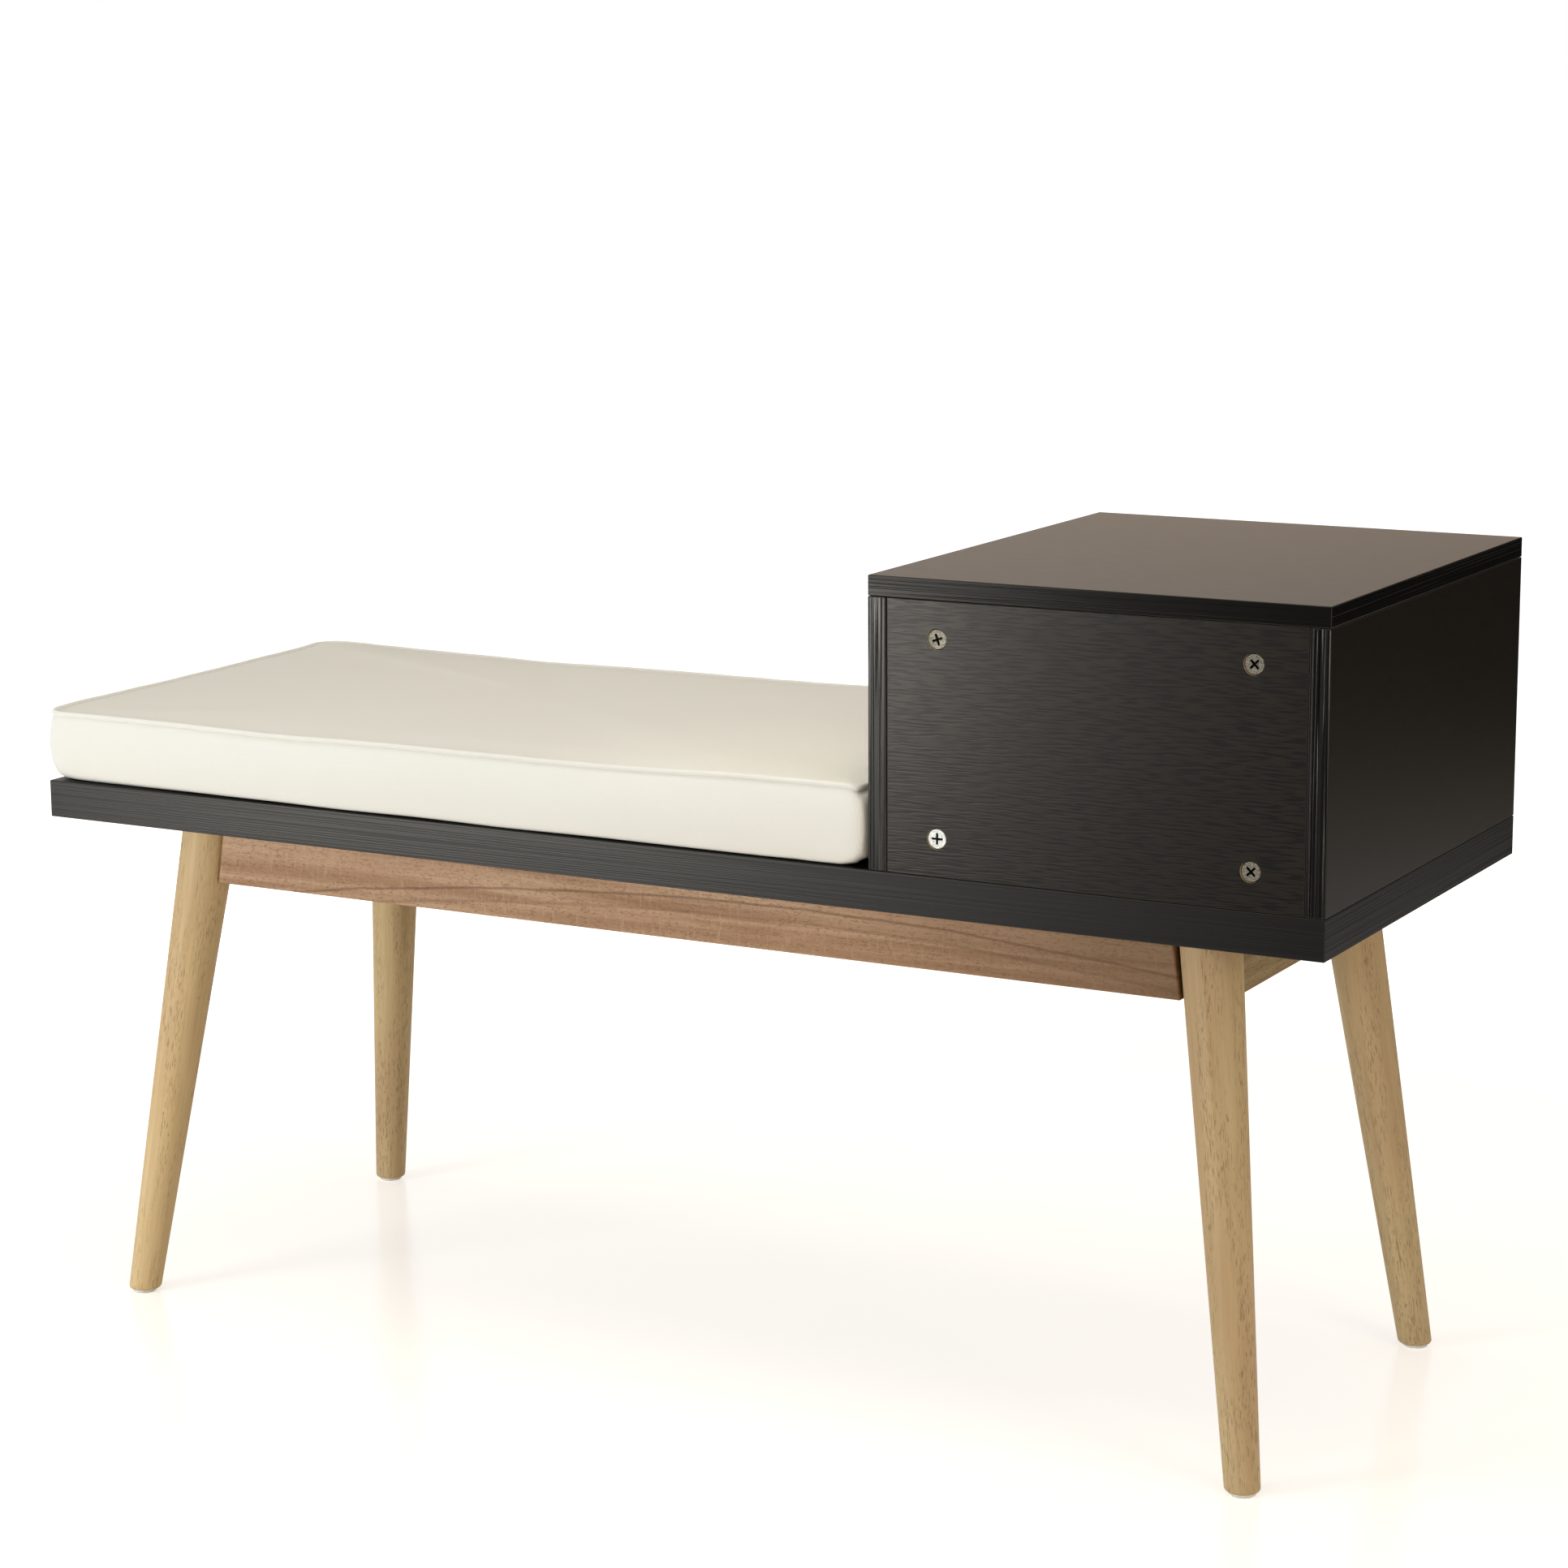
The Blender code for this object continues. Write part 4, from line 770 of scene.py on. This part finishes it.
def add_legs():
    """Smooth turned legs, in place of the faceted solids. Each has its oak made lighter or darker as
    painted light and shade.
    """
    for x, y, tone in LEG_PAINTED_LIGHT:
        name = "leg_" + ("front" if y < 0 else "back") + ("_left" if x < 0 else "_right")
        # Painted light and shade: this leg's oak is scaled by its factor
        shades = [[value * tone for value in shade] for shade in LEG_OAK]
        oak = oak_look("oak_" + name, *shades)
        low = leg_axis(x, y, 0)
        axis = (leg_axis(x, y, SEAT_UNDER) - low).normalized()
        lean = Vector((axis.x, axis.y, 0)).normalized()
        side = Vector((-lean.y, lean.x, 0))
        mesh = bmesh.new()
        rings = []
        for z in leg_heights():
            ring = []
            for step in range(LEG_SIDES):
                angle = math.tau * step / LEG_SIDES
                out = lean * (math.cos(angle) / axis.z) + side * math.sin(angle)
                ring.append(mesh.verts.new(leg_axis(x, y, z) + out * leg_radius(z)))
            rings.append(ring)
        skin(mesh, rings, capped=True)
        turn = axis.to_track_quat("Z", "Y").to_matrix().to_4x4()
        leg = new_piece("turned_" + name, mesh, oak, Matrix.Translation(low) @ turn, LEG_SMOOTH)
        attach(leg, "bench")
        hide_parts(name)


def cushion_point(share, inset):
    """A point of the cushion's plan, share 0 to 1 anticlockwise from the start of the +x side.

    The second value is 0 at the corners and 1 at the middle of a side.
    """
    half = Vector(((CUSHION_HIGH_X - CUSHION_LOW_X) / 2, CUSHION_HALF_Y))
    corners = []
    for x, y in ((1, -1), (1, 1), (-1, 1), (-1, -1)):
        radius = CUSHION_END_CORNER if x > 0 else CUSHION_BOX_CORNER
        corners.append((Vector((x * (half.x - radius), y * (half.y - radius))), radius))
    sides = []
    lengths = []
    for quarter in range(4):
        out = Vector((math.cos(quarter * math.pi / 2), math.sin(quarter * math.pi / 2)))
        first, first_radius = corners[quarter]
        second, second_radius = corners[(quarter + 1) % 4]
        sides.append((first + out * first_radius, second + out * second_radius, out))
        lengths += [(sides[-1][1] - sides[-1][0]).length, second_radius * math.pi / 2]
    left = share * sum(lengths)
    index = 0
    while index < len(lengths) - 1 and left > lengths[index]:
        left -= lengths[index]
        index += 1
    part = left / lengths[index]
    quarter = index // 2
    if index % 2:
        centre, radius = corners[(quarter + 1) % 4]
        angle = (quarter + part) * math.pi / 2
        return centre + Vector((math.cos(angle), math.sin(angle))) * (radius - inset), 0.0
    start, stop, out = sides[quarter]
    middle = 1 - (2 * part - 1) ** 2
    return start.lerp(stop, part) - out * (inset + CUSHION_DRAW_IN * middle), middle


def bell(value, middle, width):
    """1 at the middle, falling to 0 on both sides."""
    return math.exp(-(((value - middle) / width) ** 2))


def ramp(value, low, high):
    """0 to 1 from low to high, with soft ends."""
    part = min(1.0, max(0.0, (value - low) / (high - low)))
    return part * part * (3 - 2 * part)


def seam_height(share, plan, middle):
    """Height of the top seam above the seat board: lifted at corners and towards the box."""
    turn = share * math.tau
    around = Vector((math.cos(turn) * SEAM_WAVE_SCALE, math.sin(turn) * SEAM_WAVE_SCALE, SEAM_WAVE_SEED))
    wave = noise.noise(around)
    corner = SEAM_LIFT_BOX
    if plan.x > 0:
        corner = SEAM_LIFT_FRONT if plan.y < 0 else SEAM_LIFT_BACK
    rise = SEAM_RISE * ramp(plan.x, SEAM_RISE_FROM, SEAM_RISE_TO)
    lift = corner * (1 - middle) ** SEAM_LIFT_POWER + rise
    sag = SEAM_SAG * bell(plan.x, SEAM_SAG_PLACE, SEAM_SAG_WIDTH)
    return SEAM_HEIGHT + lift - sag + SEAM_WAVE * wave


def cushion_solid():
    """The stuffed form before the cloth is simulated: boxed sides, rounded lower edge, crowned top."""
    half_x = (CUSHION_HIGH_X - CUSHION_LOW_X) / 2 - SEAM_INSET
    half_y = CUSHION_HALF_Y - SEAM_INSET
    shares = [step / CUSHION_STEPS for step in range(CUSHION_STEPS)]
    mesh = bmesh.new()
    rings = []
    for level, straight, corner in CUSHION_SIDE:
        ring = []
        for share in shares:
            edge, middle = cushion_point(share, 0.0)
            to_end = ramp(edge.x, -CORNER_SHARE_REACH, CORNER_SHARE_REACH)
            square = CORNER_SHARE_BOX + CORNER_SHARE_ADDED * to_end
            drawn = (corner - straight) * (1 - math.sqrt(middle)) * square
            plan = cushion_point(share, straight + drawn)[0]
            height = level * seam_height(share, plan, middle)
            ring.append(mesh.verts.new(CUSHION_CENTRE + Vector((*plan, height))))
        rings.append(ring)
    for ring_step in range(1, CUSHION_TOP_RINGS + 1):
        scale = 1 - CUSHION_TOP_REACH * ring_step / CUSHION_TOP_RINGS
        ring = []
        for share in shares:
            plan, middle = cushion_point(share, SEAM_INSET)
            edge = seam_height(share, plan, middle)
            spot = plan * scale
            dome_x = 1 - abs(spot.x / half_x) ** CROWN_POWER_X
            dome_y = 1 - abs(spot.y / half_y) ** CROWN_POWER_Y
            height = edge * scale + SEAM_HEIGHT * (1 - scale) + CUSHION_CROWN * (dome_x * dome_y)
            ring.append(mesh.verts.new(CUSHION_CENTRE + Vector((*spot, height))))
        rings.append(ring)
    skin(mesh, rings, capped=True)
    return mesh


def apply_modifiers(item):
    """Give an object the mesh that its modifiers make, and take them off."""
    depsgraph = bpy.context.evaluated_depsgraph_get()
    data = bpy.data.meshes.new_from_object(item.evaluated_get(depsgraph))
    old = item.data
    item.modifiers.clear()
    item.data = data
    bpy.data.meshes.remove(old)


def seam_points(count):
    """The top seam's nominal path."""
    points = []
    for step in range(count):
        share = step / count
        plan, middle = cushion_point(share, SEAM_INSET)
        points.append(CUSHION_CENTRE + Vector((*plan, seam_height(share, plan, middle))))
    return points


def seam_finder():
    """A search tree for the nearest point of the top seam, as a very low strip."""
    points = []
    for spot in seam_points(SEAM_SEARCH_STEPS):
        points += [spot, spot + Vector((0, 0, SEAM_SEARCH_HEIGHT))]
    count = len(points)
    faces = [(i, i + 1, (i + 3) % count, (i + 2) % count) for i in range(0, count, 2)]
    return BVHTree.FromPolygons(points, faces)


def simulate_cloth(item, finder):
    """Inflate the cover a little as cloth, with its underside and its seam held."""
    rest = [vertex.co.copy() for vertex in item.data.vertices]
    held = item.vertex_groups.new(name="held")
    for vertex in item.data.vertices:
        from_seam = finder.find_nearest(vertex.co)[3]
        if vertex.co.z < CUSHION_FLOOR + HELD_HEIGHT or from_seam < CUSHION_VOXEL:
            held.add([vertex.index], 1.0, "REPLACE")
    modifier = item.modifiers.new("cover", "CLOTH")
    for key, value in CLOTH_SETTINGS.items():
        setattr(modifier.settings, key, value)
    modifier.settings.vertex_group_mass = "held"
    modifier.settings.effector_weights.gravity = 0.0
    modifier.collision_settings.use_collision = False
    modifier.point_cache.frame_start = 1
    modifier.point_cache.frame_end = CLOTH_FRAMES
    scene = bpy.context.scene
    for step in range(1, CLOTH_FRAMES + 1):
        scene.frame_set(step)
    apply_modifiers(item)
    scene.frame_set(1)
    top = CUSHION_FLOOR + SEAM_HEIGHT - TOP_MARGIN
    for vertex, start in zip(item.data.vertices, rest):
        moved = vertex.co - start
        cap = CUSHION_TOP_CAP if start.z > top else CUSHION_CAP
        if moved.length > cap:
            vertex.co = start + moved.normalized() * cap
    item.vertex_groups.clear()


def add_cushion():
    """A sewn cushion of cover and welt, in place of the plain solid."""
    canvas = canvas_look()
    cover = new_piece("cushion_cover", cushion_solid(), canvas)
    remesh = cover.modifiers.new("even", "REMESH")
    remesh.mode = "VOXEL"
    remesh.voxel_size = CUSHION_VOXEL
    apply_modifiers(cover)
    finder = seam_finder()
    simulate_cloth(cover, finder)
    subdivide = cover.modifiers.new("smooth", "SUBSURF")
    subdivide.levels = 1
    apply_modifiers(cover)
    shape_cover(cover, finder)
    cover.data.shade_smooth()
    if not cover.data.materials:
        cover.data.materials.append(canvas)
    welt = add_welt(cover, canvas)
    for item in (cover, welt):
        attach(item, "bench")
    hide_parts("seat_cushion")


def edge_lift(spot):
    """How far the lower edge stands off the seat board: a little all round, most beside the box."""
    along = Vector((spot.x * EDGE_WAVE_SCALE, spot.y * EDGE_WAVE_SCALE, EDGE_WAVE_SEED))
    lift = EDGE_LIFT + EDGE_WAVE * noise.noise(along)
    if spot.y > 0:
        for height, from_box, width in EDGE_BUMPS:
            lift += height * bell(spot.x, BOX_RIGHT + from_box, width)
    return max(lift, 0.0)


def shape_cover(cover, finder):
    """Sew the top seam in, pucker the cloth beside it and lift the lower edge off the board."""
    tuck = Vector((CUSHION_LOW_X, CUSHION_HALF_Y, CUSHION_FLOOR + SEAM_HEIGHT + SEAM_RISE))
    tuck += TUCK_OFFSET
    normals = [vertex.normal.copy() for vertex in cover.data.vertices]
    for vertex, normal in zip(cover.data.vertices, normals):
        place = vertex.co.copy()
        spot, _, _, distance = finder.find_nearest(place)
        pucker = 0.0
        for scale, seed, share in PUCKERS:
            pucker += share * noise.noise(Vector((spot.x * scale, spot.y * scale, seed)))
        depth = GROOVE_DEPTH * bell(distance, 0, GROOVE_WIDTH)
        ripple = PUCKER_HEIGHT * pucker * math.exp(-distance / PUCKER_FADE)
        ripple += RIPPLE_HEIGHT * noise.noise(place * Vector(RIPPLE_SCALE))
        moved = place + normal * (ripple - depth)
        moved += TUCK_INWARD * TUCK_DEPTH * bell((place - tuck).length, 0, TUCK_WIDTH)
        inside = Vector((place.x - spot.x, place.y - spot.y)).length
        rim = max(0.0, 1 - inside / EDGE_REACH_IN)
        rim *= max(0.0, 1 - (place.z - CUSHION_FLOOR) / EDGE_REACH_UP)
        moved.z += edge_lift(spot) * rim
        moved.z = max(moved.z, CUSHION_FLOOR)
        moved.x = max(moved.x, CUSHION_LOW_X)
        vertex.co = moved


def add_welt(cover, canvas):
    """A corded welt in the top seam."""
    tree = BVHTree.FromObject(cover, bpy.context.evaluated_depsgraph_get())
    path = []
    for spot in seam_points(WELT_STEPS):
        near, normal, _, _ = tree.find_nearest(spot)
        path.append(near + normal * WELT_RADIUS * WELT_PROUD)
    for _ in range(WELT_SMOOTHINGS):
        path = [
            (path[step - 1] + path[step] * 2 + path[(step + 1) % WELT_STEPS]) / 4
            for step in range(WELT_STEPS)
        ]
    mesh = bmesh.new()
    rings = []
    for step in range(WELT_STEPS):
        run = (path[(step + 1) % WELT_STEPS] - path[step - 1]).normalized()
        out = run.cross(Vector((0, 0, 1))).normalized()
        up = out.cross(run)
        ring = []
        for turn in range(WELT_SIDES):
            angle = math.tau * turn / WELT_SIDES
            around = out * math.cos(angle) + up * math.sin(angle)
            ring.append(mesh.verts.new(path[step] + around * WELT_RADIUS))
        rings.append(ring)
    skin(mesh, rings, capped=False)
    return new_piece("cushion_welt", mesh, canvas)


def add_floor():
    """A plain pale floor, white to the camera away from the bench's shadow and clear from below."""
    mesh = bmesh.new()
    bmesh.ops.create_grid(mesh, x_segments=1, y_segments=1, size=FLOOR_SIZE)
    data = bpy.data.meshes.new("floor")
    mesh.to_mesh(data)
    mesh.free()
    floor = add_object("floor", data)
    look = Look("pale_floor", roughness=0.2, specular=0.5)
    away = look.add("ShaderNodeVectorMath", {0: look.place}, operation="LENGTH").outputs["Value"]
    near = look.mix(look.speckle(3), linear(*FLOOR_NEAR[0]), linear(*FLOOR_NEAR[1]))
    look.set("Base Color", look.stain(near, away, *FLOOR_DARKENS, 1.0, FLOOR_FAR))
    path = look.add("ShaderNodeLightPath").outputs
    gloss = look.math("MAXIMUM", path["Is Glossy Ray"], path["Is Transmission Ray"])
    by_gloss = look.math("MULTIPLY", gloss, look.fit(away, *FLOOR_GLOSS_ENDS, FLOOR_GLOSS, 0.0))
    white = look.add("ShaderNodeEmission", {"Color": WHITE, "Strength": 1.0}).outputs[0]
    lit = look.add("ShaderNodeMixShader", {0: by_gloss, 1: look.shader.outputs[0], 2: white})
    tone = look.mix(look.fit(away, *FLOOR_GLOW_RISES), FLOOR_GLOW, WHITE)
    glow = look.add("ShaderNodeEmission", {"Color": tone, "Strength": path["Is Camera Ray"]})
    both = look.add("ShaderNodeAddShader", {0: lit.outputs[0], 1: glow.outputs[0]})
    backfacing = look.add("ShaderNodeNewGeometry").outputs["Backfacing"]
    below = look.math("MULTIPLY", backfacing, path["Is Camera Ray"])
    clear = look.add("ShaderNodeBsdfTransparent")
    surface = look.add("ShaderNodeMixShader", {0: below, 1: both.outputs[0], 2: clear.outputs[0]})
    look.feed(look.tree.nodes["Material Output"].inputs["Surface"], surface.outputs[0])
    data.materials.append(look.material)


def add_world():
    """Soft light from all round, white where the camera and the gloss see the backdrop."""
    world = bpy.data.worlds.new("studio")
    world.use_nodes = True
    bpy.context.scene.world = world
    sky = Nodes(world.node_tree)
    light = sky.tree.nodes["Background"]
    light.inputs["Color"].default_value = WORLD_COLOUR
    white = sky.add("ShaderNodeBackground", {"Color": WHITE, "Strength": 1.0})
    path = sky.add("ShaderNodeLightPath").outputs
    gloss = sky.math("MAXIMUM", path["Is Glossy Ray"], path["Is Transmission Ray"])
    sky.feed(light.inputs["Strength"], sky.fit(gloss, 0, 1, WORLD_LIGHT, DARK_GLOSS, False))
    direction = sky.split(sky.add("ShaderNodeTexCoord").outputs["Generated"])
    behind = sky.fit(direction[Y], *BACKDROP_Y, 0.0, BACKDROP_GLOSS)
    behind = sky.math("MULTIPLY", behind, sky.fit(direction[X], *BACKDROP_X))
    seen = sky.math("MAXIMUM", path["Is Camera Ray"], sky.math("MULTIPLY", gloss, behind))
    blend = sky.add("ShaderNodeMixShader", {0: seen, 1: light.outputs[0], 2: white.outputs[0]})
    sky.feed(sky.tree.nodes["World Output"].inputs["Surface"], blend.outputs[0])


def add_lamp(name, place, target, size, radiance, colour):
    """A soft box of a width and height, with the radiance of its face."""
    data = bpy.data.lights.new(name, "AREA")
    data.shape = "RECTANGLE"
    data.size, data.size_y = size
    data.energy = radiance * math.pi * size[0] * size[1]
    data.color = colour
    lamp = add_object(name, data)
    lamp.location = place
    lamp.rotation_euler = (Vector(target) - Vector(place)).to_track_quat("-Z", "Y").to_euler()
    lamp.visible_camera = False
    return lamp


def add_lights():
    """Lamps from the seat's end, the box's end and above, and cards that only the foil's gloss shows."""
    lamps = {name: add_lamp(name, *settings) for name, settings in LAMPS.items()}
    lamps["beam"].data.spread = math.radians(BEAM_SPREAD)
    foiled = bpy.data.collections.new("foiled_boards")
    for name in FOILED:
        foiled.objects.link(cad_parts[name])
    for name in GLOSS_CARDS:
        lamps[name].visible_diffuse = False
        lamps[name].light_linking.receiver_collection = foiled


def add_camera():
    """The photograph's camera, from behind the bench on the box's side."""
    azimuth = math.radians(CAMERA_AZIMUTH)
    elevation = math.radians(CAMERA_ELEVATION)
    back = Vector(
        (
            -math.sin(azimuth) * math.cos(elevation),
            math.cos(azimuth) * math.cos(elevation),
            math.sin(elevation),
        )
    )
    level = Vector((0, 0, 1)).cross(back).normalized()
    up = back.cross(level)
    roll = math.radians(CAMERA_ROLL)
    right = level * math.cos(roll) + up * math.sin(roll)
    upright = up * math.cos(roll) - level * math.sin(roll)
    turn = Matrix((right, upright, back)).transposed().to_4x4()
    data = bpy.data.cameras.new("photo_camera")
    data.sensor_width = SENSOR
    data.sensor_fit = "HORIZONTAL"
    data.lens = FOCAL_PIXELS / PHOTO_SIZE * SENSOR
    data.shift_y = (CENTRE_Y - PHOTO_SIZE / 2) / PHOTO_SIZE
    data.clip_end = CAMERA_FAR
    camera = add_object("photo_camera", data)
    camera.matrix_world = Matrix.Translation(CAMERA_PLACE) @ turn
    bpy.context.scene.camera = camera


bpy.context.scene.view_settings.view_transform = "Standard"
dress_nodes()
add_legs()
add_cushion()
add_floor()
add_world()
add_lights()
add_camera()
